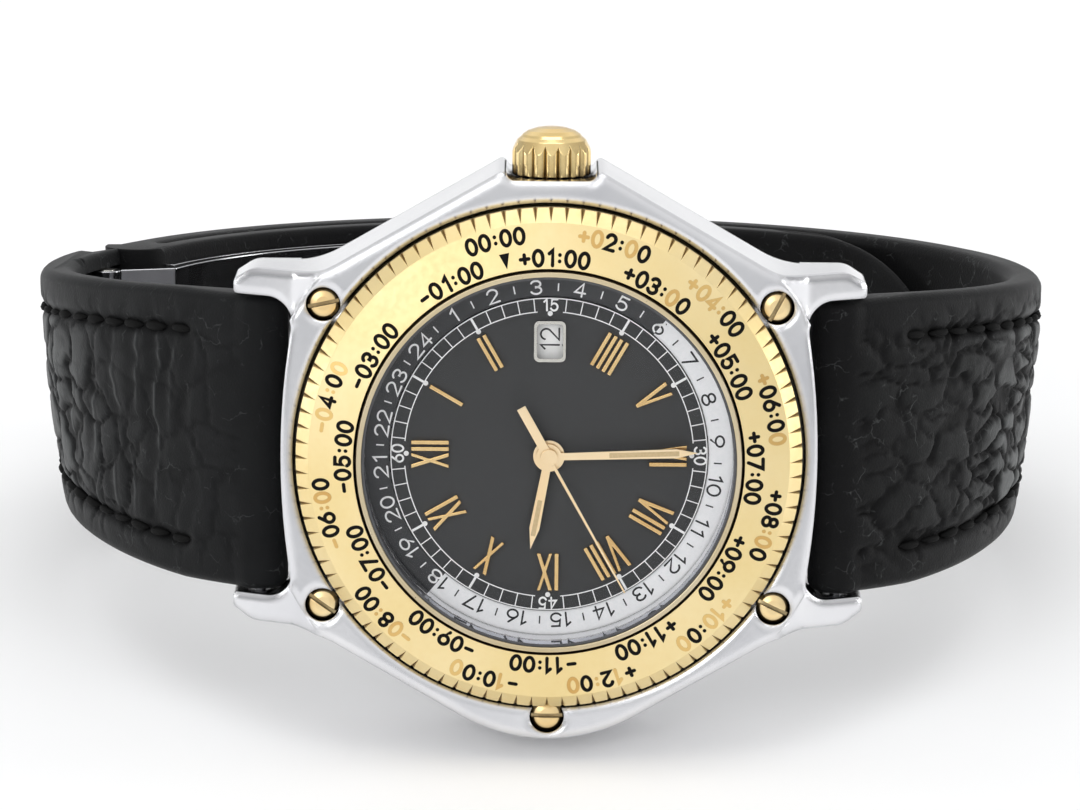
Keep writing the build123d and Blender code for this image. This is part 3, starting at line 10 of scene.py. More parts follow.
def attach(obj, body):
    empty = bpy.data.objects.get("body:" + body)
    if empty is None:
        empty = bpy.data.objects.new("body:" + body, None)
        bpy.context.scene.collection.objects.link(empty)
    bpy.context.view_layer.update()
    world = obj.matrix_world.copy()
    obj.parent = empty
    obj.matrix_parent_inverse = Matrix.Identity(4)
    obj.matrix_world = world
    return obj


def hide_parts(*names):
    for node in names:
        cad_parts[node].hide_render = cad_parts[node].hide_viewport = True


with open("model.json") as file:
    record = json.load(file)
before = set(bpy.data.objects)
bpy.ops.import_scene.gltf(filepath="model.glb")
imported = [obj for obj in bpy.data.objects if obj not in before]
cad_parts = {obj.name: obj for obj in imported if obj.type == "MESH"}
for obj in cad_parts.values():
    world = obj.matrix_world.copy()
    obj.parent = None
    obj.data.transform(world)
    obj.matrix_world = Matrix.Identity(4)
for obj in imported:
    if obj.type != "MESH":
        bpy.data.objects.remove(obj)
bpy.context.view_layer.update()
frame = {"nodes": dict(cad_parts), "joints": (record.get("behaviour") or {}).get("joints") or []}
nodes = frame["nodes"]
joints = {joint["name"]: joint for joint in frame["joints"]}
print("frame loaded:", len(nodes), "nodes")

# Watch frame: x to 6 o'clock, y to the crown, z out of the dial, in millimetres from the dial's centre
dialCentre = Vector(joints["minute_turn"]["pos_m"])
axisX = Vector((1, 0, 0))
axisY = Vector(joints["crown_turn"]["axis"])
axisZ = Vector(joints["minute_turn"]["axis"])
mm = 0.001


def toRow(points):
    grid = np.asarray(points, float) * mm
    axes = np.array([axisX, axisY, axisZ])
    return grid @ axes + np.array(dialCentre)


def polar(radius, angle):
    return radius * cos(radians(angle)), radius * sin(radians(angle))


def clockAngle(turn):  # clockwise from 12 o'clock, which lies at the left
    return 180 - turn


def unit(value):
    return min(1, max(0, value))


def eased(share):
    return share * share * (3 - 2 * share)


# Materials

def hexColour(code):  # sRGB hex to linear
    values = [int(code[i:i + 2], 16) / 255 for i in (1, 3, 5)]
    return [v / 12.92 if v <= 0.04045 else ((v + 0.055) / 1.055) ** 2.4 for v in values] + [1]


def setInputs(tree, node, values):
    for name, value in values.items():
        if isinstance(value, bpy.types.NodeSocket):
            tree.links.new(value, node.inputs[name])
        else:
            node.inputs[name].default_value = value


def addNode(tree, kind, inputs=None, **settings):
    node = tree.nodes.new("ShaderNode" + kind)
    for name, value in settings.items():
        setattr(node, name, value)
    setInputs(tree, node, inputs or {})
    return node


def perMm(size):  # texture scale whose features are about this many millimetres
    return 1 / (size * mm)


def addNoise(tree, coords, size, detail=2.0, rough=0.5, output="Fac", **settings):
    return addNode(tree, "TexNoise", {
        "Vector": coords, "Scale": perMm(size), "Detail": detail, "Roughness": rough}, **settings).outputs[output]


def addRamp(tree, value, stops):
    # stops: places and colours
    ramp = addNode(tree, "ValToRGB", {"Fac": value})
    elements = ramp.color_ramp.elements
    while len(elements) < len(stops):
        elements.new(0.5)
    for element, (place, code) in zip(elements, stops):
        element.position = place
        element.color = hexColour(code)
    return ramp.outputs["Color"]


def addRemap(tree, value, start=0.0, end=1.0, low=0.0, high=1.0):
    return addNode(tree, "MapRange", {
        "Value": value, "From Min": start, "From Max": end, "To Min": low, "To Max": high}).outputs["Result"]


def addMath(tree, operation, *values):
    return addNode(tree, "Math", dict(enumerate(values)), operation=operation).outputs[0]


def addMix(tree, share, first, second):
    return addNode(tree, "Mix", {"Factor": share, 6: first, 7: second}, data_type="RGBA").outputs[2]


def newMaterial(name):
    material = bpy.data.materials.new(name)
    material.use_nodes = True
    tree = material.node_tree
    shader = tree.nodes["Principled BSDF"]
    coords = addNode(tree, "TexCoord").outputs["Object"]
    return material, tree, shader, coords


metal = {
    "hairDetail": 4.0, "hairDepth": 0.05, "glossier": 0.75, "duller": 1.3,
    "smudgeSize": 6, "smudgeDetail": 3.0, "smudgeFrom": 0.35, "smudgeTo": 0.65,
    "shadeFull": 0.25, "shadeNone": 0.75, "shadeSamples": 6, "edgeSamples": 8,
}


def polishedMetal(name, tint, worn, rough, grainSize=0.4, bump=0.02, stretch=(1, 1, 1),
                  paintedShade=None, shadeReach=0.5, edge=0.0):
    # plated or polished metal: the gloss is broken by fine hairlines and handling marks
    material, tree, shader, coords = newMaterial(name)
    mapped = addNode(tree, "Mapping", {"Vector": coords, "Scale": stretch}).outputs[0]
    hairlines = addNoise(tree, mapped, grainSize, metal["hairDetail"])
    smudges = addNoise(tree, coords, metal["smudgeSize"], metal["smudgeDetail"])
    colour = addRamp(tree, smudges, [(metal["smudgeFrom"], worn), (metal["smudgeTo"], tint)])
    if paintedShade:  # painted shade: the colour is darkened in corners and hollows where little light reaches
        shadeMask = addNode(tree, "AmbientOcclusion", {"Distance": shadeReach * mm},
                          samples=metal["shadeSamples"]).outputs["AO"]
        unshaded = addRemap(tree, shadeMask, metal["shadeFull"], metal["shadeNone"])
        colour = addMix(tree, unshaded, hexColour(paintedShade), colour)
    roughness = addRemap(tree, hairlines, low=rough * metal["glossier"], high=rough * metal["duller"])
    surface = addNode(tree, "Bump", {
        "Height": hairlines, "Strength": bump, "Distance": metal["hairDepth"] * mm})
    if edge:  # edges rounded by years of polishing
        rounded = addNode(tree, "Bevel", {"Radius": edge * mm}, samples=metal["edgeSamples"])
        setInputs(tree, surface, {"Normal": rounded.outputs["Normal"]})
    setInputs(tree, shader, {
        "Base Color": colour, "Roughness": roughness, "Normal": surface.outputs["Normal"], "Metallic": 1})
    return material


paint = {"detail": 3.0, "shadeTo": 0.3, "tintFrom": 0.7, "depth": 0.03}


def paintFilm(name, tint, shade, rough, grainSize=0.5, bump=0.03, specular=0.5):
    # lacquer, print or dull plastic: even colour with a slight mottle
    material, tree, shader, coords = newMaterial(name)
    mottle = addNoise(tree, coords, grainSize, paint["detail"])
    colour = addRamp(tree, mottle, [(paint["shadeTo"], shade), (paint["tintFrom"], tint)])
    surface = addNode(tree, "Bump", {"Height": mottle, "Strength": bump, "Distance": paint["depth"] * mm})
    setInputs(tree, shader, {
        "Base Color": colour, "Normal": surface.outputs["Normal"],
        "Roughness": rough, "Specular IOR Level": specular})
    return material


crystal = {"film": 5, "coat": "#F4F6FF", "rough": 0.02, "index": 1.16}


def sapphireCrystal():
    # clear synthetic sapphire with a coating against glare: only a faint gloss is left
    material, tree, shader, coords = newMaterial("sapphireCrystal")
    film = addNoise(tree, coords, crystal["film"])
    gloss = addNode(tree, "BsdfAnisotropic", {
        "Color": hexColour(crystal["coat"]), "Roughness": crystal["rough"]}).outputs[0]
    clear = addNode(tree, "BsdfTransparent").outputs[0]
    fresnel = addNode(tree, "Fresnel", {"IOR": crystal["index"]}).outputs[0]
    share = addMath(tree, "MULTIPLY", fresnel, film)
    mixed = addNode(tree, "MixShader", {0: share, 1: clear, 2: gloss}).outputs[0]
    setInputs(tree, tree.nodes["Material Output"], {"Surface": mixed})
    tree.nodes.remove(shader)
    return material


def dayNightRing(ring):
    # printed brass ring: a charcoal half for the night and a silvered half for the day
    material, tree, shader, coords = newMaterial("printedDayNightRing")
    local = addNode(tree, "VectorMath", {0: coords, 1: dialCentre}, operation="SUBTRACT").outputs[0]
    across, along = (addNode(tree, "VectorMath", {0: local, 1: axis}, operation="DOT_PRODUCT").outputs["Value"]
                     for axis in (axisX, axisY))
    angle = addMath(tree, "ARCTAN2", along, across)
    shifted = addMath(tree, "SUBTRACT", angle, radians(clockAngle(ring["sixTurn"])))
    night = addMath(tree, "GREATER_THAN", addMath(tree, "SINE", shifted), 0.0)
    mottle = addNoise(tree, coords, ring["mottle"])
    dark, light = (addRamp(tree, mottle, [
        (paint["shadeTo"], ring[half + "Shade"]), (paint["tintFrom"], ring[half + "Tint"])])
        for half in ("night", "day"))
    colour = addMix(tree, night, light, dark)
    setInputs(tree, shader, {"Base Color": colour, "Roughness": ring["rough"]})
    return material


def grainedLeather(name, leather):
    # black calf: matt in the folds, with painted shade there, lighter grey on the crests from rubbing and a painted
    # highlight, with fine pale cracks where the finish has split
    material, tree, shader, coords = newMaterial(name)
    # painted light from the strap mesh: shade in the folds and seams, highlight and rubbing on the crests
    shadeAndRub = addNode(tree, "Attribute", attribute_name="shadeAndRub").outputs["Fac"]
    # clouds in the dye, pores, and the places where the finish has split
    cloud, pores, where = (addNoise(tree, coords, *grain) for grain in leather["grains"])
    scuffs = addNoise(tree, coords, leather["scuff"], *leather["scuffGrain"], noise_type="RIDGED_MULTIFRACTAL")
    # the split finish: a bent net of hair lines, kept in patches only
    stray = addNoise(tree, coords, *leather["strayGrain"], output="Color")
    bent = addNode(tree, "VectorMath", {0: stray, 1: (leather["stray"] * mm,) * 3, 2: coords},
                   operation="MULTIPLY_ADD").outputs[0]
    split = addNode(tree, "TexVoronoi", {"Vector": bent, "Scale": perMm(leather["splitGap"])},
                    feature="DISTANCE_TO_EDGE").outputs["Distance"]
    hair = addRemap(tree, split, 0.0, leather["splitWidth"], 1.0, 0.0)
    patches = addRemap(tree, where, leather["splitFrom"], leather["splitTo"], high=leather["splitShare"])
    pale = addMath(tree, "MULTIPLY", hair, patches)
    # dye clouds mixed with the painted shade and highlight of the relief
    shadeAndWear = addMath(tree, "MULTIPLY_ADD", cloud, leather["cloud"], addRemap(tree, shadeAndRub, -1.0))
    shadedHide = addRamp(tree, shadeAndWear, [(place, leather[tint]) for tint, place in leather["shadeAndWear"].items()])
    colour = addMix(tree, pale, shadedHide, hexColour(leather["split"]))
    height = addMath(tree, "MULTIPLY_ADD", scuffs, leather["scuffDepth"], pores)
    cut = addMath(tree, "MULTIPLY_ADD", pale, -leather["splitDepth"], height)
    surface = addNode(tree, "Bump", {"Height": cut, "Strength": leather["bump"], "Distance": leather["pore"] * mm})
    roughness = addRemap(tree, shadeAndWear, leather["mattAt"], leather["rubbedAt"], leather["matt"], leather["rough"])
    setInputs(tree, shader, {
        "Base Color": colour, "Normal": surface.outputs["Normal"],
        "Roughness": roughness, "Specular IOR Level": leather["specular"],
        "Sheen Weight": leather["sheen"], "Sheen Roughness": leather["sheenRough"]})
    return material


ruby = {"cloud": 0.4, "shade": "#8E0F2C", "tint": "#C4204A", "rough": 0.08}


def rubySynthetic():
    # pressed synthetic ruby of the bearing jewels: clear red with a gloss
    material, tree, shader, coords = newMaterial("syntheticRuby")
    cloud = addNoise(tree, coords, ruby["cloud"])
    colour = addRamp(tree, cloud, [(paint["shadeTo"], ruby["shade"]), (paint["tintFrom"], ruby["tint"])])
    setInputs(tree, shader, {"Base Color": colour, "Roughness": ruby["rough"]})
    return material


ringZeroTurn = 40.2
ringLooks = {
    "sixTurn": ringZeroTurn + 6 * 15, "nightTint": "#38393B", "nightShade": "#343537",
    "dayTint": "#FCFCFD", "dayShade": "#F6F7F8", "mottle": 0.25, "rough": 0.42,
}
leatherBoth = {
    # grains: size, detail and roughness of clouds, pores and split places
    "grains": ((3.5, 4.0, 0.5), (0.14, 3.0, 0.5), (1.7, 4.0, 0.65)), "scuffGrain": (5.0, 0.7),
    # ramp places run from painted shade in the folds over the hide's tint to crests lightened by rubbing and a painted
    # highlight
    "shadeAndWear": {"crease": 0.1, "tint": 0.56, "ridge": 0.72, "rubbedAndLit": 1.0}, "cloud": 0.16, "pore": 0.1,
    "splitFrom": 0.53, "splitTo": 0.66, "splitDepth": 1.5, "stray": 1.3, "strayGrain": (1.1, 3.0),
    "matt": 0.65, "mattAt": 0.2, "rubbedAt": 0.9, "specular": 0.1, "sheen": 0.06, "sheenRough": 0.45,
}
# the darkest colour is painted shade in the folds; the two lightest are crests lightened by rubbing and a painted
# highlight
leatherLong = {
    **leatherBoth, "tint": "#0D0D0E", "crease": "#020202", "ridge": "#191A1A", "rubbedAndLit": "#4E5050",
    "split": "#565858", "splitGap": 1.7, "splitWidth": 0.03, "splitShare": 0.55,
    "rough": 0.42, "bump": 0.35, "scuff": 1.6, "scuffDepth": 0.5,
}
leatherShort = {
    **leatherBoth, "tint": "#101112", "crease": "#030304", "ridge": "#1C1D1E", "rubbedAndLit": "#4A4C4C",
    "split": "#505252", "splitGap": 2.0, "splitWidth": 0.025, "splitShare": 0.45,
    "rough": 0.45, "bump": 0.25, "scuff": 2.2, "scuffDepth": 0.4,
}

looks = {
    # electroplated gold: pale and a little dull from handling, with brown painted shade in notches, ribs and slots
    "goldPlate": polishedMetal(
        "goldPlatedBezel", "#F3DFAC", "#EED89F", 0.48, paintedShade="#5E380E", shadeReach=0.9, edge=0.06),
    "goldCrown": polishedMetal(
        "goldPlatedCrown", "#FAE6B0", "#EDC880", 0.15, paintedShade="#2E1A06", shadeReach=1.5, edge=0.08),
    "goldScrews": polishedMetal(
        "goldPlatedScrews", "#FBE6B4", "#EBC586", 0.3, paintedShade="#20130A", shadeReach=0.55, edge=0.08),
    # gilded brass under the crystal: kept clean, so it shows an even warm tone, with painted shade along the outlines
    "goldHands": polishedMetal(
        "gildedHands", "#FFE9C4", "#FCDFB0", 0.3, grainSize=1.5, bump=0.004, paintedShade="#9A6E3C", shadeReach=0.14),
    "goldNumerals": polishedMetal(
        "gildedNumerals", "#F2D197", "#DDB478", 0.22, paintedShade="#7A5230", shadeReach=0.2, edge=0.1),
    "champagne": polishedMetal("champagneRing", "#DACBAC", "#CFBE99", 0.3, edge=0.1),
    # stainless steel: mirror polished on the case, with soft corners and dark painted shade in the joints
    "steel": polishedMetal(
        "polishedSteel", "#E4E4E6", "#DADADD", 0.14, paintedShade="#17120E", shadeReach=0.7, edge=0.8),
    "silvered": polishedMetal("silveredFrame", "#E4E2DA", "#D8D6CE", 0.2, edge=0.06),
    "backSteel": polishedMetal(
        "brushedSteelBack", "#C9C9CB", "#B9B9BC", 0.3, grainSize=0.15, bump=0.08, stretch=(1, 9, 9)),
    "bladeSteel": polishedMetal(
        "polishedSteelBlades", "#D8D8DA", "#C8C8CB", 0.1, grainSize=0.2, stretch=(0.1, 1, 1), edge=0.12),
    # the movement: hardened steel, gilded and rhodium plated brass, rubies
    "movementSteel": polishedMetal("blackPolishedSteel", "#A9AAAD", "#97989C", 0.22),
    "movementBrass": polishedMetal("gildedBrass", "#D2AE63", "#B99246", 0.3),
    "rhodium": polishedMetal("rhodiumPlatedBrass", "#C9C8C4", "#B7B6B2", 0.28, grainSize=0.8, bump=0.1),
    "crystal": sapphireCrystal(),
    "ruby": rubySynthetic(),
    # moulded seals and spacers: dull
    "rubber": paintFilm("nitrileRubber", "#1A1A1B", "#121213", 0.7),
    "nylon": paintFilm("mouldedAcetal", "#55565A", "#4A4B4F", 0.5),
    # lacquers, pad prints and fillings: flat tones without gloss
    "dialLacquer": paintFilm("mattDialLacquer", "#343536", "#303132", 0.6, grainSize=0.2),
    "lume": paintFilm("agedLuminousPaste", "#D6BE93", "#C9AF82", 0.7, grainSize=0.12, bump=0.2),
    "dateWhite": paintFilm("whiteDateLacquer", "#FCFCFB", "#F7F7F5", 0.5),
    "printWhite": paintFilm("whitePadPrint", "#FCFCFC", "#F4F4F4", 0.5),
    "printBlack": paintFilm("blackPadPrint", "#222325", "#1B1C1E", 0.5),
    "fillBlack": paintFilm("blackEnamelFill", "#0E0C0A", "#080706", 0.6, specular=0.12),
    "fillWorn": polishedMetal("bareEngravedGold", "#E3C07C", "#D2A866", 0.35),
    "dayNight": dayNightRing(ringLooks),
    "leatherLong": grainedLeather("heavyGrainCalf", leatherLong),
    "leatherShort": grainedLeather("fineGrainCalf", leatherShort),
    # waxed thread: nearly as dark as the seam it lies in
    "thread": paintFilm("waxedLinenThread", "#0E0E0E", "#060606", 0.7, grainSize=0.15, bump=0.4, specular=0.12),
}

nodeLooks = {
    "goldPlate": ["bezel"],
    "goldCrown": ["crown"],
    "goldScrews": ["bezel_screws"],
    "goldHands": ["hour_hand", "minute_hand", "seconds_hand"],
    "goldNumerals": ["dial_numerals"],
    "champagne": ["crystal_ring"],
    "steel": ["case_middle"],
    "silvered": ["clasp_pins", "clasp_end_pin", "date_window_frame"],
    "backSteel": ["case_back"],
    "bladeSteel": ["clasp_upper_blade", "clasp_lower_blade"],
    "movementSteel": [
        "bezel_spring", "crown_tube", "winding_stem", "sliding_pinion", "winding_pinion", "crown_wheel",
        "ratchet_wheel", "click", "barrel_arbor", "mainspring", "escape_wheel", "pallet_fork", "hairspring",
        "cannon_pinion", "rotor_bearing", "bridge_screws", "casing_clamps", "spring_bars"],
    "movementBrass": [
        "barrel_drum", "second_wheel", "third_wheel", "fourth_wheel", "balance_wheel", "minute_wheel",
        "hour_wheel", "ring_drive_wheel", "rotor"],
    "rhodium": ["pallet_bridge", "main_plate", "barrel_bridge", "train_bridge", "balance_cock"],
    "crystal": ["crystal"],
    "ruby": ["jewels"],
    "rubber": ["case_back_gasket", "crown_gasket"],
    "nylon": ["crystal_gasket", "movement_ring", "dial_spacer"],
    "dialLacquer": ["dial"],
    "dateWhite": ["date_ring"],
    "dayNight": ["hour_ring_24"],
}
for look, names in nodeLooks.items():
    for name in names:
        nodes[name].data.materials.clear()
        nodes[name].data.materials.append(looks[look])
print("materials set on", sum(len(names) for names in nodeLooks.values()), "nodes")


# Meshes

def meshPiece(name, points, faces, body, look, slot, smooth=False):
    mesh = bpy.data.meshes.new(name)
    mesh.from_pydata([tuple(p) for p in toRow(points)], [], faces)
    mesh.validate()
    mesh.update()
    if smooth:
        mesh.shade_smooth()
    piece = bpy.data.objects.new(name, mesh)
    bpy.context.scene.collection.objects.link(piece)
    mesh.materials.append(looks[look])
    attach(piece, body)
    return piece


# Stroke figures: each is a list of lines in a box 0..figureWide by 0..1

def arcPoints(cx, cy, rx, ry, start, end, count=14):
    angles = [radians(start + (end - start) * i / count) for i in range(count + 1)]
    return [(cx + rx * cos(a), cy + ry * sin(a)) for a in angles]


figureWide = 0.62
figureWides = {"1": 0.42, ":": 0.24, "-": 0.6}
figures = {
    "0": [arcPoints(0.31, 0.5, 0.31, 0.5, 0, 360, 28)],
    "1": [[(0.14, 0.78), (0.36, 1.0), (0.36, 0.0)]],
    "2": [arcPoints(0.31, 0.7, 0.29, 0.3, 165, -35) + [(0.0, 0.0), (0.62, 0.0)]],
    "3": [arcPoints(0.29, 0.75, 0.27, 0.25, 160, -90) + arcPoints(0.29, 0.27, 0.31, 0.27, 90, -160)],
    "4": [[(0.44, 0.0), (0.44, 1.0), (0.0, 0.28), (0.62, 0.28)]],
    "5": [[(0.56, 1.0), (0.12, 1.0), (0.07, 0.52)] + arcPoints(0.3, 0.32, 0.31, 0.32, 125, -155, 16)],
    "6": [[(0.46, 1.0)] + arcPoints(0.31, 0.32, 0.31, 0.32, 150, 510, 28)],
    "7": [[(0.0, 1.0), (0.62, 1.0), (0.2, 0.0)]],
    "8": [arcPoints(0.31, 0.75, 0.25, 0.25, 0, 360, 22), arcPoints(0.31, 0.26, 0.31, 0.26, 0, 360, 24)],
    "9": [arcPoints(0.31, 0.68, 0.31, 0.32, -30, 330, 28) + [(0.16, 0.0)]],
    "+": [[(0.31, 0.22), (0.31, 0.78)], [(0.03, 0.5), (0.59, 0.5)]],
    "-": [[(0.08, 0.5), (0.54, 0.5)]],
    ":": [[(0.12, 0.28), (0.12, 0.3)], [(0.12, 0.7), (0.12, 0.72)]],
}


def strokeRibbon(line, width, capSteps=6, turnedBack=0.05, leastLean=0.5):
    # outline and end fans of a round-ended stroke of constant width along a line
    pts = [Vector((x, y, 0)) for x, y in line]
    left, right = [], []
    for i, p in enumerate(pts):
        before = (p - pts[i - 1]).normalized() if i else (pts[1] - p).normalized()
        after = (pts[i + 1] - p).normalized() if i + 1 < len(pts) else before
        way = before + after
        way = way.normalized() if way.length > turnedBack else after
        lean = max(leastLean, way.dot(after))
        side = Vector((-way.y, way.x, 0)) * (width / 2 / lean)
        left.append(p + side)
        right.append(p - side)
    first, last = (pts[1] - pts[0]).normalized(), (pts[-1] - pts[-2]).normalized()
    caps = []
    for centre, way in ((pts[0], -first), (pts[-1], last)):
        base = atan2(way.y, way.x)
        angles = [base - pi / 2 + pi * k / capSteps for k in range(capSteps + 1)]
        caps.append([centre] + [centre + Vector((cos(a), sin(a), 0)) * (width / 2) for a in angles])
    return left, right, caps


def addStrokes(target, text, height, width, spacing, mapPoint, wideShare=1.0):
    # lays a text of figures out on its centre and maps its plan to the watch
    # target: points and faces, or a function that picks them for each figure
    wides = [figureWides.get(c, figureWide) * wideShare for c in text]
    total = (sum(wides) + spacing * (len(text) - 1)) * height
    x = -total / 2
    for char, wide in zip(text, wides):
        points, faces = target() if callable(target) else target
        for line in figures[char]:
            placed = [(x + px * wideShare * height, (py - 0.5) * height) for px, py in line]
            left, right, caps = strokeRibbon(placed, width)
            start = len(points)
            for a, b in zip(left, right):
                points.append(mapPoint(a.x, a.y))
                points.append(mapPoint(b.x, b.y))
            for i in range(len(left) - 1):
                k = start + 2 * i
                faces.append((k, k + 1, k + 3, k + 2))
            for fan in caps:
                start = len(points)
                points.extend(mapPoint(p.x, p.y) for p in fan)
                faces.extend((start, start + i, start + i + 1) for i in range(1, len(fan) - 1))
        x += (wide + spacing) * height


def aroundDial(radius, angle, level):
    # plan of a text whose top faces outwards, set along a circle at that angle
    def mapPoint(u, v):
        r = radius + v
        turn = radians(angle) - u / radius
        return r * cos(turn), r * sin(turn), level(r) if callable(level) else level
    return mapPoint


def addBar(points, faces, radius0, radius1, angle, width, level):
    # a short straight mark along a radius
    c, s = polar(1, angle)
    start = len(points)
    for r, w in ((radius0, -1), (radius0, 1), (radius1, 1), (radius1, -1)):
        points.append((r * c - s * w * width / 2, r * s + c * w * width / 2, level))
    faces.append((start, start + 1, start + 2, start + 3))


def addCircle(points, faces, radius, width, level, gaps=(), steps=720):
    # a thin flat circle, broken at the given angles
    start = len(points)
    for i in range(steps):
        angle = 360 * i / steps
        points.append((*polar(radius - width / 2, angle), level))
        points.append((*polar(radius + width / 2, angle), level))
    for i in range(steps):
        angle = 360 * (i + 0.5) / steps
        if any(abs((angle - g + 180) % 360 - 180) < half for g, half in gaps):
            continue
        a, b = start + 2 * i, start + 2 * ((i + 1) % steps)
        faces.append((a, a + 1, b + 1, b))


# Bezel figures: UTC offsets in two rows, engraved and filled, some with the filling worn out

bezelPrint = {
    "outerRow": 14.92, "innerRow": 13.42, "height": 0.96, "stroke": 0.235, "spacing": 0.3,
    "zeroAngle": 104.0, "step": 15.0, "blank": [22], "lift": 0.012,
    "topInner": (12.72, 3.2), "topOuter": (15.65, 2.5), "seed": 11, "wornOuter": 0.34, "wornInner": 0.05,
    "pointerShift": 0.05, "pointerTurn": 1.5, "pointerHalf": 0.32, "pointerReach": 0.5,
}


def bezelHeight(r):
    (r0, z0), (r1, z1) = bezelPrint["topInner"], bezelPrint["topOuter"]
    return z0 + (z1 - z0) * (r - r0) / (r1 - r0) + bezelPrint["lift"]


def makeBezelPrint():
    b = bezelPrint
    rng = random.Random(b["seed"])
    sets = {"fillBlack": ([], []), "fillWorn": ([], [])}
    for k in range(24):
        if k in b["blank"]:
            continue
        hours = k if k <= 12 else k - 24
        text = "00:00" if k == 0 else f"{'+' if hours > 0 else '-'}{abs(hours):02d}:00"
        radius, worn = (b["outerRow"], b["wornOuter"]) if k % 2 == 0 else (b["innerRow"], b["wornInner"])
        mapPoint = aroundDial(radius, b["zeroAngle"] - b["step"] * k, bezelHeight)

        def pick():
            return sets["fillWorn" if rng.random() < worn else "fillBlack"]
        addStrokes(pick, text, b["height"], b["stroke"], b["spacing"], mapPoint)
    # pointer under the zero hour
    points, faces = sets["fillBlack"]
    start = len(points)
    mapPoint = aroundDial(b["innerRow"] + b["pointerShift"], b["zeroAngle"] - b["pointerTurn"], bezelHeight)
    half, reach = b["pointerHalf"], b["pointerReach"]
    points.extend([mapPoint(-half, reach), mapPoint(half, reach), mapPoint(0, -reach)])
    faces.append((start, start + 2, start + 1))
    meshPiece("bezel_figures", *sets["fillBlack"], "bezel_body", "fillBlack", "gold")
    meshPiece("bezel_figures_worn", *sets["fillWorn"], "bezel_body", "fillWorn", "gold")
    print("bezel figures made")


# 24-hour ring figures

ringPrint = {
    "radius": 11.05, "height": 0.86, "wide": 1.3, "stroke": 0.13, "spacing": 0.3, "level": -0.142,
    "zeroTurn": ringZeroTurn, "step": 15, "tick": (10.8, 11.32), "tickWidth": 0.09,
}


def makeRingPrint():
    p = ringPrint
    points, faces = [], []
    for hour in range(1, 25):
        angle = clockAngle(p["zeroTurn"] + p["step"] * hour)
        mapPoint = aroundDial(p["radius"], angle, p["level"])
        addStrokes((points, faces), str(hour), p["height"], p["stroke"], p["spacing"], mapPoint, p["wide"])
        addBar(points, faces, *p["tick"], angle - p["step"] / 2, p["tickWidth"], p["level"])
    # white on the night half, black on the day half, also within the figures that lie across the border
    border = radians(clockAngle(ringLooks["sixTurn"]))
    sets = {"printWhite": [], "printBlack": []}
    for face in faces:
        x, y = (sum(points[i][axis] for i in face) for axis in (0, 1))
        night = sin(atan2(y, x) - border) > 0
        sets["printWhite" if night else "printBlack"].append(face)
    for look, chosen in sets.items():
        order = {old: new for new, old in enumerate(sorted({i for face in chosen for i in face}))}
        used = [tuple(order[i] for i in face) for face in chosen]
        meshPiece("hour_ring_" + look, [points[i] for i in order], used, "hour_ring_body", look, "ring_paint")
    print("24-hour ring printed")


# Dial print: minute track, its four numbers and the beads at the hours

dialPrint = {
    "inner": 9.45, "outer": 10.33, "line": 0.07, "hourLine": 0.16, "level": 0.012, "gap": 5.0,
    "figure": 0.74, "figureStroke": 0.13, "figureRadius": 9.9, "spacing": 0.28,
    "bead": 0.17, "beadRadius": 9.33, "beadTop": 0.05, "beadFoot": -0.01, "beadSides": 12,
}


def makeDialPrint():
    d = dialPrint
    points, faces = [], []
    numbers = {0: "60", 15: "15", 30: "30", 45: "45"}
    gaps = [(clockAngle(m * 6), d["gap"]) for m in numbers]
    addCircle(points, faces, d["inner"], d["line"], d["level"], gaps)
    addCircle(points, faces, d["outer"], d["line"], d["level"])
    for minute in range(60):
        if min(abs((minute - m + 30) % 60 - 30) for m in numbers) < 1:
            continue
        width = d["hourLine"] if minute % 5 == 0 else d["line"]
        addBar(points, faces, d["inner"], d["outer"], clockAngle(minute * 6), width, d["level"])
    sides = d["beadSides"]
    for hour in range(12):
        x, y = polar(d["beadRadius"], clockAngle(hour * 30))
        start = len(points)
        points.append((x, y, d["level"] + d["beadTop"]))
        for k in range(sides):
            dx, dy = polar(d["bead"], 360 / sides * k)
            points.append((x + dx, y + dy, d["level"] + d["beadFoot"]))
        faces.extend((start, start + 1 + k, start + 1 + (k + 1) % sides) for k in range(sides))
    for minute, text in numbers.items():
        mapPoint = aroundDial(d["figureRadius"], clockAngle(minute * 6), d["level"])
        addStrokes((points, faces), text, d["figure"], d["figureStroke"], d["spacing"], mapPoint)
    meshPiece("dial_track", points, faces, "case", "printWhite", "dial_paint")
    print("dial track printed")


# Date figures: 31 days round the ring, the shown one in the window

datePrint = {"radius": 7.5, "height": 1.2, "stroke": 0.12, "spacing": 0.22, "level": -0.544, "shown": 12}


def makeDatePrint():
    d = datePrint
    points, faces = [], []
    for day in range(1, 32):
        c, s = polar(1, (d["shown"] - day) * 360 / 31)

        def mapPoint(u, v):
            x, y = -v, d["radius"] + u
            return x * c - y * s, x * s + y * c, d["level"]
        addStrokes((points, faces), str(day), d["height"], d["stroke"], d["spacing"], mapPoint)
    meshPiece("date_figures", points, faces, "date_body", "printBlack", "date_paint")
    print("date figures printed")


# Luminous strips let into the hands

strips = {
    "hour": {"turn": 280.7, "start": 3.0, "end": 5.4, "width": 0.3, "level": 0.605},
    "minute": {"turn": 178, "start": 3.95, "end": 8.5, "width": 0.32, "level": 0.955},
}
stripSteps = 10
stripSwell = 0.02


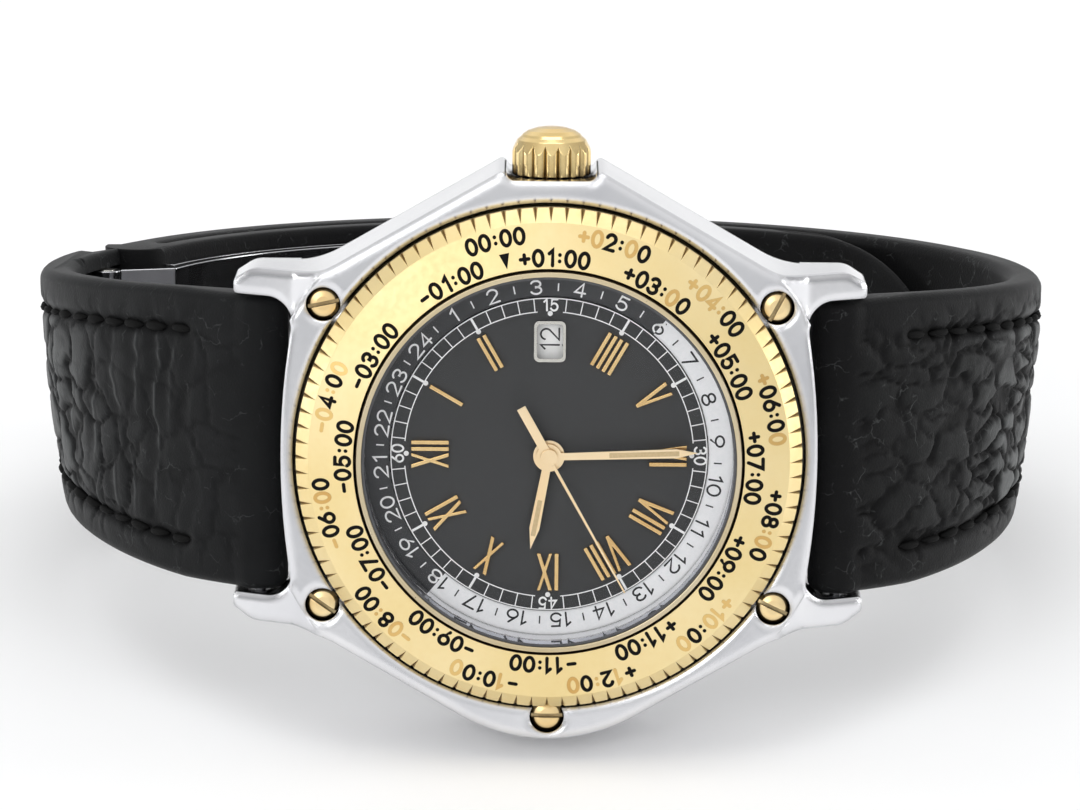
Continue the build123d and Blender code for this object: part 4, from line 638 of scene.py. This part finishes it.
def makeStrips():
    for hand, strip in strips.items():
        points, faces = [], []
        c, s = polar(1, clockAngle(strip["turn"]))
        for i in range(stripSteps + 1):
            r = strip["start"] + (strip["end"] - strip["start"]) * i / stripSteps
            for side, lift in ((-0.5, 0), (0, stripSwell), (0.5, 0)):
                away = side * strip["width"]
                points.append((r * c - s * away, r * s + c * away, strip["level"] + lift))
        for i in range(stripSteps):
            for k in (0, 1):
                a = 3 * i + k
                faces.append((a, a + 3, a + 4, a + 1))
        meshPiece(hand + "_hand_strip", points, faces, hand + "_body", "lume", "plastic", smooth=True)
    print("hand strips made")


makeStrips()
makeBezelPrint()
makeRingPrint()
makeDialPrint()
makeDatePrint()


# Strap: an ellipse seen from the side, hung on the two spring bars

loop = {"halfWidth": 33.2, "halfDepth": 28.2, "barX": 19.1, "barZ": -4.8}
loop["centre"] = loop["barZ"] - loop["halfDepth"] * sqrt(1 - (loop["barX"] / loop["halfWidth"]) ** 2)
loop["barAngle"] = degrees(acos(loop["barX"] / loop["halfWidth"]))

strap = {
    "lugHalf": 1.9, "sideHalf": 1.35, "padAngle": 32,
    "lugWidth": 9.8, "midWidth": 8.2, "midDepth": -27, "backWidth": 8.0, "backDepth": -42,
    "foldAngle": -156.5, "foldOffset": -0.98, "foldRadius": 2.26,
    "notchHalf": 3.6, "notchRadius": 2.6, "notchTurn": 14, "notchWall": 0.004,
    "tailOuter": -1.52, "tailInner": -3.26, "tipAngle": -30, "tipStart": 19.0, "tipTurn": 1.3, "tipHalf": 0.4,
    "tipLeast": 0.55, "slitEnd": 5.4, "slitTurn": 0.2,
    "flapInner": 0.42, "flapAngle": 201.2, "flapGap": 0.08, "flapThin": 0.1, "perDegree": 0.52,
    "cheekEnd": 201.1, "cheekInner": -1.7, "cheekHalf": 6.5, "cheekStart": 0.8, "shortEnd": 187.5,
    "butt": (0.1, 0.4, 0.7), "buttInside": ((0.2, 0.12), (0, -0.2), (-0.2, -1.0)), "buttEnd": 1.2,
    "barTurn": 1.5, "barRound": 0.99, "barSteps": 12,
    "edgeRound": 0.7, "edgeSteps": 5, "thinRound": 0.45, "foldRound": 0.12, "lipRound": 0.1, "cheekRound": 0.3,
    "lipIn": 0.45, "lipRows": 15, "lipSteps": 7, "cheekSteps": 23,
    "slices": 84, "step": 0.2, "coarseStep": 0.6, "arcSteps": 20,
    "crown": 0.35, "seamIn": 2.7, "seamDepth": 0.45, "seamWidth": 0.42, "seamFade": 0.8,
}

thread = {
    "pitch": 2.35, "length": 1.9, "radius": 0.29, "first": 0.3, "rings": 9, "sides": 8, "end": 0.3,
    "sink": 0.55, "sinkEnds": 0.6, "crownShare": 0.2,
    # rows as in the relief's waves, by the stitch and the side: how far each one strays
    "shift": ((1.7, 3.1, 0, 0.25),), "slant": ((2.3, 5.7, 1, 0.3),), "gauge": ((1.9, 2.3, 2, 0.5),),
}


def loopPoint(angle, offset=0.0):
    t = radians(angle)
    x, z = loop["halfWidth"] * cos(t), loop["centre"] + loop["halfDepth"] * sin(t)
    nx, nz = cos(t) / loop["halfWidth"], sin(t) / loop["halfDepth"]
    size = hypot(nx, nz)
    return x + offset * nx / size, z + offset * nz / size


def strapHalf(angle):
    # half of the strap's thickness, padded near the lugs
    fromBar = min(abs(angle - loop["barAngle"]), abs(angle - (180 - loop["barAngle"])))
    share = eased(min(fromBar / strap["padAngle"], 1))
    return strap["lugHalf"] + (strap["sideHalf"] - strap["lugHalf"]) * share


def loopRun(start, end, offset, step, meanRadius=30):
    # points along the loop at an offset, which may depend on the angle
    across = max(4, int(abs(end - start) * radians(1) * meanRadius / step))
    angles = [start + (end - start) * i / across for i in range(across + 1)]
    return [loopPoint(a, offset(a) if callable(offset) else offset) for a in angles]


def arcRun(centre, radius, start, end, count):
    run = [polar(radius, start + (end - start) * i / count) for i in range(count + 1)]
    return [(centre[0] + x, centre[1] + y) for x, y in run]


def halfWidthAt(z):
    s = strap
    if z >= s["midDepth"]:
        share = unit((loop["barZ"] - s["lugHalf"] - z) / (loop["barZ"] - s["lugHalf"] - s["midDepth"]))
        return s["lugWidth"] + (s["midWidth"] - s["lugWidth"]) * share
    share = min(1, (s["midDepth"] - z) / (s["midDepth"] - s["backDepth"]))
    return s["midWidth"] + (s["backWidth"] - s["midWidth"]) * share


def angleOf(point, centre):
    return degrees(atan2(point[1] - centre[1], point[0] - centre[0]))


def normalAngle(angle):
    t = radians(angle)
    return degrees(atan2(sin(t) / loop["halfDepth"], cos(t) / loop["halfWidth"]))


# Leather relief. Rows of waves: frequency along and across the strap, seed step and reach in millimetres

net = {
    "bendLong": ((0.3, 0.35, 0, 1.3), (1.1, 1.3, 2, 0.45)),
    "bendWide": ((0.22, 0.4, 4, 1.1), (0.9, 1.4, 6, 0.4)),
    "crackPower": 1.2, "fineLong": 2.1, "fineWide": 1.9, "fineWidth": 0.15, "fineShare": 0.45, "fineTone": 0.4,
    "patchShare": 0.75, "patchLeast": 0.1,
    "fineWave": ((0.4, 0.4, 9, 1),), "patchWave": ((0.16, 0.2, 11, 1.2),), "swellWave": ((0.35, 0.3, 13, 1),),
}
ridges = {
    "reach": 2.5, "share": 0.6, "wander": ((0.25, 3.3, 20, 1.0), (1.1, 2.1, 23, 0.35)), "fade": ((0.3, 5.7, 26, 1.3),),
    # painted highlight on the raised creases and painted shade in the waves beside them
    "waveShift": 0.5, "waveWidth": 0.8, "crestHighlight": 0.8, "waveTone": 0.3,
}


def waves(u, y, seed, rows):
    return sum(noise.noise(Vector((u * along, y * across, seed + step))) * reach
               for along, across, step, reach in rows)


def cellEdge(u, y, seed):
    # 0 on the border between two cells of a net
    gaps = noise.voronoi(Vector((u, y, seed)))[0]
    return gaps[1] - gaps[0]


def foldGain(u, gain):
    return gain["lug"] + gain["rise"] * unit((u - gain["riseAt"]) / gain["riseOver"]) \
        - gain["fall"] * unit((u - gain["fallAt"]) / gain["fallOver"])


def netFolds(u, y, style):
    # a net of folds round puffed cells: depth in millimetres and a tone from -1, painted shade in the folds, to 1,
    # crests lighter from rubbing and a painted highlight
    seed = style["seed"]
    u2 = (u + waves(u, y, seed, net["bendLong"])) / style["cellLong"]
    y2 = (y + waves(u, y, seed, net["bendWide"])) / style["cellWide"]
    away = cellEdge(u2, y2, seed)
    crack = max(0.0, 1 - away / style["crackWidth"]) ** net["crackPower"]
    puff = max(0.0, 1 - away / style["puffWidth"]) ** 2
    fineShare = unit(net["fineShare"] + waves(u, y, seed, net["fineWave"]))
    small = cellEdge(u2 * net["fineLong"], y2 * net["fineWide"], seed + 8)
    fine = max(0.0, 1 - small / net["fineWidth"]) * fineShare
    patch = min(1, max(net["patchLeast"], net["patchShare"] + waves(u, y, seed, net["patchWave"])))
    gain = foldGain(u, style["gain"])
    depth = (crack * style["crack"] + puff * style["puff"] + fine * style["fine"]) * patch * gain
    depth += waves(u, y, seed, net["swellWave"]) * style["swell"]
    base, peak, place, width = style["rubAndHighlight"]
    rubAndHighlight = base + peak * exp(-((u - place) / width) ** 2)
    shadeAndRub = -(crack + net["fineTone"] * fine) * patch * min(1, gain) + (1 - puff) * rubAndHighlight
    return depth, shadeAndRub


def ridgeFolds(u, y, style):
    # a smoother hide: soft waves with fine raised creases across the strap and a net between them; the creases get a
    # painted highlight and the waves painted shade
    depth, shadeAndRub = netFolds(u, y, style)
    seed = style["seed"]
    crest, wave = 0.0, 0.0
    for k, place in enumerate(style["ridges"]):
        away = u - place - waves(y, k, seed, ridges["wander"])
        if abs(away) < ridges["reach"]:
            strength = unit(ridges["share"] + waves(y, k, seed, ridges["fade"]))
            crest = max(crest, exp(-(away / style["ridgeWidth"]) ** 2) * strength)
            wave = max(wave, exp(-((away - ridges["waveShift"]) / ridges["waveWidth"]) ** 2) * strength)
    depth += wave * style["wave"] - crest * style["ridge"]
    return depth, shadeAndRub + crest * ridges["crestHighlight"] - wave * ridges["waveTone"]


def sideSkew(x, z, y, style):
    # worn straps lean in towards their lower edge where the loop is widest
    angle = degrees(atan2((z - loop["centre"]) / loop["halfDepth"], abs(x) / loop["halfWidth"]))
    away = (loop["barAngle"] - angle) / loop["barAngle"] if angle > 0 else 1 + angle / style["skewReach"]
    lean = style["skewMid"] + style["skewEdge"] * y / strap["midWidth"]
    return copysign(1, x) * eased(unit(away)) * lean


def seamShare(u, style):
    start, end = style["seam"]
    return unit((u - start) / strap["seamFade"]) * unit((end - u) / strap["seamFade"])


def rowPlan(notchHalf):
    # rows across the strap: kind, place, and for the rounded edges the drop and the reach of the round
    turns = [pi / 2 * k / strap["edgeSteps"] for k in range(strap["edgeSteps"] + 1)]
    rounds = [(1 - sin(a), cos(a)) for a in turns]
    middle = [-1 + 2 * i / (strap["slices"] - 1) for i in range(1, strap["slices"] - 1)]
    share = notchHalf / (strap["backWidth"] - strap["edgeRound"])
    middle += [side * (share + gap) for side in (-1, 1) for gap in (-strap["notchWall"], strap["notchWall"])]
    near = [("edge", -1, drop, out) for drop, out in rounds]
    far = [("edge", 1, drop, out) for drop, out in reversed(rounds)]
    return near + [("in", t, 0, 0) for t in sorted(middle)] + far, share


def tubeFaces(base, rings, sides):
    # equal closed rings of points joined to a tube with flat ends
    faces = []
    for first in range(base, base + (rings - 1) * sides, sides):
        for q in range(sides):
            a, b = first + q, first + (q + 1) % sides
            faces.append((a, b, b + sides, a + sides))
    last = base + (rings - 1) * sides
    return faces + [tuple(range(base + sides - 1, base - 1, -1)), tuple(range(last, last + sides))]


def strapMesh(name, outline, body, look, style, replaced):
    # outline: closed side view, each point as (x, z, folded, half width, point inside the notch, edge radius)
    s = strap
    flat = np.array([(p[0], p[1]) for p in outline])
    halves = np.array([halfWidthAt(p[1]) if p[3] is None else p[3] for p in outline])
    run = np.roll(flat, -1, 0) - np.roll(flat, 1, 0)
    run /= np.maximum(np.hypot(run[:, 0], run[:, 1]), 1e-9)[:, None]
    normal = np.stack([run[:, 1], -run[:, 0]], 1) * style["side"]
    length = np.concatenate([[0], np.cumsum(np.hypot(*(flat[1:] - flat[:-1]).T))])
    plan, notchShare = rowPlan(style["notchHalf"])
    points, shadeAndRubRows = [], []
    for kind, t, drop, out in plan:
        for i, (px, pz, folded, _, inside, edge) in enumerate(outline):
            half, shadeAndRub = halves[i], 0.0
            if kind == "edge":
                side = min(edge, half)
                y = t * (half - side + side * out)
                inset = edge * drop
            else:
                y = t * max(half - edge, 0)
                inset = 0.0
            if inside is not None and kind == "in" and abs(t) < notchShare:
                px, pz = inside
            elif folded:
                across = abs(y) / max(half, 0.1)
                fromEdge = half - abs(y)
                seam = exp(-((fromEdge - s["seamIn"]) / s["seamWidth"]) ** 2) * seamShare(length[i], style)
                border = unit(fromEdge / s["seamIn"]) ** 2
                depth, shadeAndRub = style["folds"](length[i], y, style)
                inset += s["crown"] * across ** 4 + seam * s["seamDepth"] + depth * border
                # painted shade in the seam's groove, on top of the painted shade and highlight of the folds
                shadeAndRub = shadeAndRub * border - seam
            points.append((px - normal[i][0] * inset + sideSkew(px, pz, y, style), y, pz - normal[i][1] * inset))
            shadeAndRubRows.append(shadeAndRub)
    piece = meshPiece(name, points, tubeFaces(0, len(plan), len(outline)), body, look, "black_leather", smooth=True)
    piece.data.attributes.new("shadeAndRub", "FLOAT", "POINT").data.foreach_set("value", shadeAndRubRows)
    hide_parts(replaced)
    outer = [i for i, point in enumerate(outline) if point[2]]
    stitches = name.replace("leather", "stitches")
    makeStitches(stitches, body, style, length[outer], flat[outer], normal[outer], halves[outer])


def makeStitches(name, body, style, length, flat, normal, halves):
    # sunk thread, one bead-like stitch after another along both edges
    s, th, seed = strap, thread, style["seed"]
    rings, sides = th["rings"], th["sides"]
    points, faces = [], []
    start, end = style["seam"]
    for side in (-1, 1):
        for k in range(int((end - start) / th["pitch"])):
            first = start + th["first"] + k * th["pitch"] + waves(k, side, seed, th["shift"])
            slant = waves(k, side, seed, th["slant"])
            gauge = th["radius"] * (1 + waves(k, side, seed, th["gauge"]))
            base = len(points)
            for r in range(rings):
                share = r / (rings - 1)
                u = first + share * th["length"]
                x, z, nx, nz, half = (np.interp(u, length, row) for row in (*flat.T, *normal.T, halves))
                y = side * (half - s["seamIn"]) + slant * (share - 0.5)
                fat = gauge * (th["end"] + (1 - th["end"]) * sin(pi * share) ** 0.5)
                sink = s["seamDepth"] * (th["sink"] + th["sinkEnds"] * (2 * share - 1) ** 4)
                sink += s["crown"] * th["crownShare"]
                skew = sideSkew(x, z, y, style)
                for q in range(sides):
                    a = 2 * pi * q / sides
                    out = cos(a) * fat - sink
                    points.append((x + nx * out + skew, y + sin(a) * fat, z + nz * out))
            faces += tubeFaces(base, rings, sides)
    meshPiece(name, points, faces, body, "thread", "black_leather", smooth=True)


def outlinePart(run, folded=0, half=None, notch=None, edge=strap["edgeRound"]):
    return [(x, z, folded, half(x) if half else None, notch[i] if notch else None, edge)
            for i, (x, z) in enumerate(run)]


def tipHalf(x):
    # the strap's end is round in plan
    s = strap
    tipX = loopPoint(s["tipAngle"], s["tailOuter"])[0]
    share = unit((x - s["tipStart"]) / max(tipX - s["tipStart"], 0.1))
    return max(s["tipLeast"], s["backWidth"] * sqrt(max(0, 1 - share ** 2)))


def homeRun(start, end, bar, goal, way):
    # along the inner face, then round the bar to the outline's first point; way: 1 counter-clockwise, -1 clockwise
    back = loopRun(start, end, lambda a: -strapHalf(a), strap["coarseStep"])
    first, last = angleOf(back[-1], bar), angleOf(goal, bar)
    while (last - first) * way < 0:
        last += 360 * way
    return back + arcRun(bar, strap["lugHalf"] * strap["barRound"], first, last, strap["barSteps"])[1:-1]


def longOutline():
    # out from the bar, round the clasp's bar, back inside as a tail, and home along the inner face
    s = strap
    bar = (loop["barX"], loop["barZ"])
    first, foldAngle, slitAngle = loop["barAngle"] - s["barTurn"], s["foldAngle"], s["foldAngle"] + s["slitEnd"]
    outer = loopRun(first, foldAngle, strapHalf, s["step"])
    fold = loopPoint(foldAngle, s["foldOffset"])
    facing = normalAngle(foldAngle)
    steps, turn = s["arcSteps"], s["notchTurn"]
    arc = arcRun(fold, s["foldRadius"], facing, facing - 180, steps)[1:-1]
    hollow = arcRun(fold, s["notchRadius"], facing + turn, facing + 180 - turn, steps)[1:-1]
    tailIn = loopRun(foldAngle, s["tipAngle"], s["tailInner"], s["coarseStep"])
    tailOut = loopRun(s["tipAngle"], slitAngle, s["tailOuter"], s["coarseStep"])
    tipMid = (s["tailOuter"] + s["tailInner"]) / 2
    tip = [loopPoint(s["tipAngle"] + s["tipTurn"], tipMid + side * s["tipHalf"]) for side in (-1, 1)]
    slit = [loopPoint(slitAngle - s["slitTurn"], (s["tailOuter"] - s["sideHalf"]) / 2)]
    outline = outlinePart(outer, 1) + outlinePart(arc, notch=hollow, edge=s["foldRound"])
    outline += outlinePart(tailIn + tip + tailOut, half=tipHalf, edge=s["thinRound"])
    return outline + outlinePart(slit + homeRun(slitAngle, first, bar, outer[0], -1))


def shortOutline():
    # out from the bar to a lip, back along cheeks beside the clasp, and home along the inner face
    s = strap
    bar = (-loop["barX"], loop["barZ"])
    first, last, inner = 180 - loop["barAngle"] + s["barTurn"], s["shortEnd"], s["flapInner"]
    outer = loopRun(first, s["flapAngle"], strapHalf, s["step"])
    # the lip lies on the other strap's fold
    lip, lipInside = [], []
    for i in range(s["lipSteps"] + 1):
        angle = s["flapAngle"] + (s["cheekEnd"] - s["flapAngle"]) * i / s["lipSteps"]
        reach = (s["foldRadius"] + s["flapGap"]) ** 2 - ((s["foldAngle"] + 360 - angle) * s["perDegree"]) ** 2
        offset = min(s["sideHalf"] - s["flapThin"], s["foldOffset"] + sqrt(max(reach, 0)))
        lip.append(loopPoint(angle, offset))
        lipInside.append(loopPoint(angle, max(offset, inner)))
    # the cheeks close the side view; between them lies the clasp
    cheek, cheekInside = [], []
    for i in range(s["cheekSteps"] + 1):
        share = i / s["cheekSteps"]
        angle = s["cheekEnd"] + (last - s["cheekEnd"]) * share
        cheek.append(loopPoint(angle, s["cheekInner"] - (s["cheekInner"] + s["sideHalf"]) * share))
        cheekInside.append(loopPoint(max(angle, last + s["cheekStart"]), inner))
    butt = [loopPoint(last - turn, -s["sideHalf"]) for turn in s["butt"]]
    buttInside = [loopPoint(last + turn, level) for turn, level in s["buttInside"]]
    # towards the lip the edge gets square, and the strap narrower by the same amount
    outline = []
    for i, (x, z) in enumerate(outer):
        square = unit((i - len(outer) + s["lipRows"]) / (s["lipRows"] - 1))
        edge = s["edgeRound"] + (s["lipRound"] - s["edgeRound"]) * square
        outline.append((x, z, 1, halfWidthAt(z) - s["lipIn"] * square, None, edge))
    outline += outlinePart(lip, half=lambda x: halfWidthAt(lip[0][1]) - s["lipIn"], notch=lipInside, edge=s["lipRound"])
    outline += outlinePart(cheek, notch=cheekInside, edge=s["cheekRound"])
    outline += outlinePart(butt, notch=buttInside, edge=s["thinRound"])
    return outline + outlinePart(homeRun(last - s["buttEnd"], first, bar, outer[0], 1))


# gain: how deep the folds are along the strap from the lug
# rub: how much the crests are lightened, by rubbing and a painted highlight, as base, peak, place and width of the peak
longStyle = {
    "seed": 3.1, "cellLong": 3.8, "cellWide": 1.75, "crackWidth": 0.14, "crack": 0.28, "puffWidth": 0.5, "puff": 0.28,
    "fine": 0.12, "swell": 0.12, "folds": netFolds, "side": -1, "notchHalf": strap["notchHalf"],
    "seam": (3.4, 62), "skewMid": -0.9, "skewEdge": 0.8, "skewReach": 60, "rubAndHighlight": (0.1, 0.85, 20, 7),
    "gain": {"lug": 0.62, "rise": 0.65, "riseAt": 6, "riseOver": 10, "fall": 0.5, "fallAt": 27, "fallOver": 8},
}
shortStyle = {
    "seed": 8.4, "cellLong": 2.7, "cellWide": 2.9, "crackWidth": 0.1, "crack": 0.14, "puffWidth": 0.4, "puff": 0.16,
    "fine": 0.05, "swell": 0.12, "folds": ridgeFolds, "side": 1, "notchHalf": strap["cheekHalf"],
    "seam": (3.6, 36), "skewMid": 0.3, "skewEdge": 0.9, "skewReach": 60, "rubAndHighlight": (0.1, 0.7, 22, 7),
    "gain": {"lug": 0.3, "rise": 0.9, "riseAt": 6, "riseOver": 12, "fall": 0.4, "fallAt": 28, "fallOver": 8},
    "ridges": (3.4, 5.2, 7.2, 9.4, 11.8, 14.6, 18.2, 22.5, 27.0, 31.5), "ridge": 0.09, "ridgeWidth": 0.15, "wave": 0.13,
}
strapMesh("strap_long_leather", longOutline(), "strap_long_body", "leatherLong", longStyle, "strap_long")
strapMesh("strap_short_leather", shortOutline(), "strap_short_body", "leatherShort", shortStyle, "strap_short")
print("straps made")


# Camera, light and floor

view = {
    "elevation": 21.7, "distance": 400, "roll": 0.5, "sensor": 36, "clip": (0.01, 20),
    "pixelsPerMm": 15.3, "centrePixel": (549.4, 454.5), "size": (1080, 810),
}


def makeCamera():
    v = view
    elevation = radians(v["elevation"])
    towards = Vector((0, -cos(elevation), sin(elevation)))
    up = Vector((0, sin(elevation), cos(elevation)))
    right = Vector((1, 0, 0))
    offX = (v["centrePixel"][0] - v["size"][0] / 2) / v["pixelsPerMm"] * mm
    offY = (v["size"][1] / 2 - v["centrePixel"][1]) / v["pixelsPerMm"] * mm
    data = bpy.data.cameras.new("camera")
    data.sensor_width = v["sensor"]
    data.lens = v["sensor"] * v["pixelsPerMm"] * v["distance"] / v["size"][0]
    data.clip_start, data.clip_end = v["clip"]
    camera = bpy.data.objects.new("camera", data)
    place = dialCentre - right * offX - up * offY + towards * v["distance"] * mm
    turn = Matrix((right, up, towards)).transposed().to_4x4()
    roll = Matrix.Rotation(radians(v["roll"]), 4, "Z")
    camera.matrix_world = Matrix.Translation(place) @ turn @ roll
    bpy.context.scene.collection.objects.link(camera)
    bpy.context.scene.camera = camera


# soft boxes: place and target in metres, size, power in watts
lights = {
    "overheadBox": ((0.0, -0.05, 0.6), (0, 0, 0.02), (0.5, 0.35), 1.0),
    "frontBox": ((-0.3, -0.6, 0.35), (0, 0, 0.02), (0.4, 0.3), 0.8),
    "rightBox": ((0.55, 0.05, 0.1), (0, 0, 0.01), (0.15, 0.25), 0.7),
    "leftBox": ((-0.55, 0.05, 0.1), (0, 0, 0.01), (0.15, 0.25), 0.5),
}


def makeLights():
    for name, (place, target, size, power) in lights.items():
        data = bpy.data.lights.new(name, "AREA")
        data.shape = "RECTANGLE"
        data.size, data.size_y = size
        data.energy = power
        light = bpy.data.objects.new(name, data)
        light.location = place
        light.rotation_euler = (Vector(target) - Vector(place)).to_track_quat("-Z", "Y").to_euler()
        bpy.context.scene.collection.objects.link(light)


# pale room: brightest well above the horizon, dimmer towards both sides so that metal gets an edge
sky = {
    "stops": [(0.0, "#C9CACC"), (0.12, "#D9DADC"), (0.3, "#E9EAEB"), (0.55, "#FFFFFF"), (1.0, "#E6E7E9")],
    "floorLevel": -0.1, "sideFrom": 0.45, "sideTo": 0.95, "sideDim": 0.5,
}


def makeWorld():
    world = bpy.data.worlds.new("studio")
    bpy.context.scene.world = world
    world.use_nodes = True
    tree = world.node_tree
    ways = addNode(tree, "TexCoord").outputs["Generated"]
    axes = addNode(tree, "SeparateXYZ", {0: ways}).outputs
    colour = addRamp(tree, addRemap(tree, axes["Z"], sky["floorLevel"]), sky["stops"])
    side = addMath(tree, "ABSOLUTE", axes["X"])
    dim = addRemap(tree, side, sky["sideFrom"], sky["sideTo"], 1.0, sky["sideDim"])
    shaded = addNode(tree, "VectorMath", {0: colour, 3: dim}, operation="SCALE").outputs[0]
    setInputs(tree, tree.nodes["Background"], {"Color": shaded, "Strength": 1.0})


floorSide = 3.0


def makeFloor():
    shadeMask = [(x * floorSide, y * floorSide, 0) for x, y in ((-1, -1), (1, -1), (1, 1), (-1, 1))]
    mesh = bpy.data.meshes.new("floor")
    mesh.from_pydata(shadeMask, [], [(0, 1, 2, 3)])
    # painted paper sweep: matt and almost white
    mesh.materials.append(paintFilm("whiteSweep", "#FBFBFB", "#F8F8F8", 0.8, grainSize=40, bump=0.0))
    floor = bpy.data.objects.new("floor", mesh)
    bpy.context.scene.collection.objects.link(floor)


makeLights()
makeWorld()
makeFloor()
makeCamera()
bpy.context.scene.view_settings.view_transform = "Standard"
print("camera, lights and floor set")
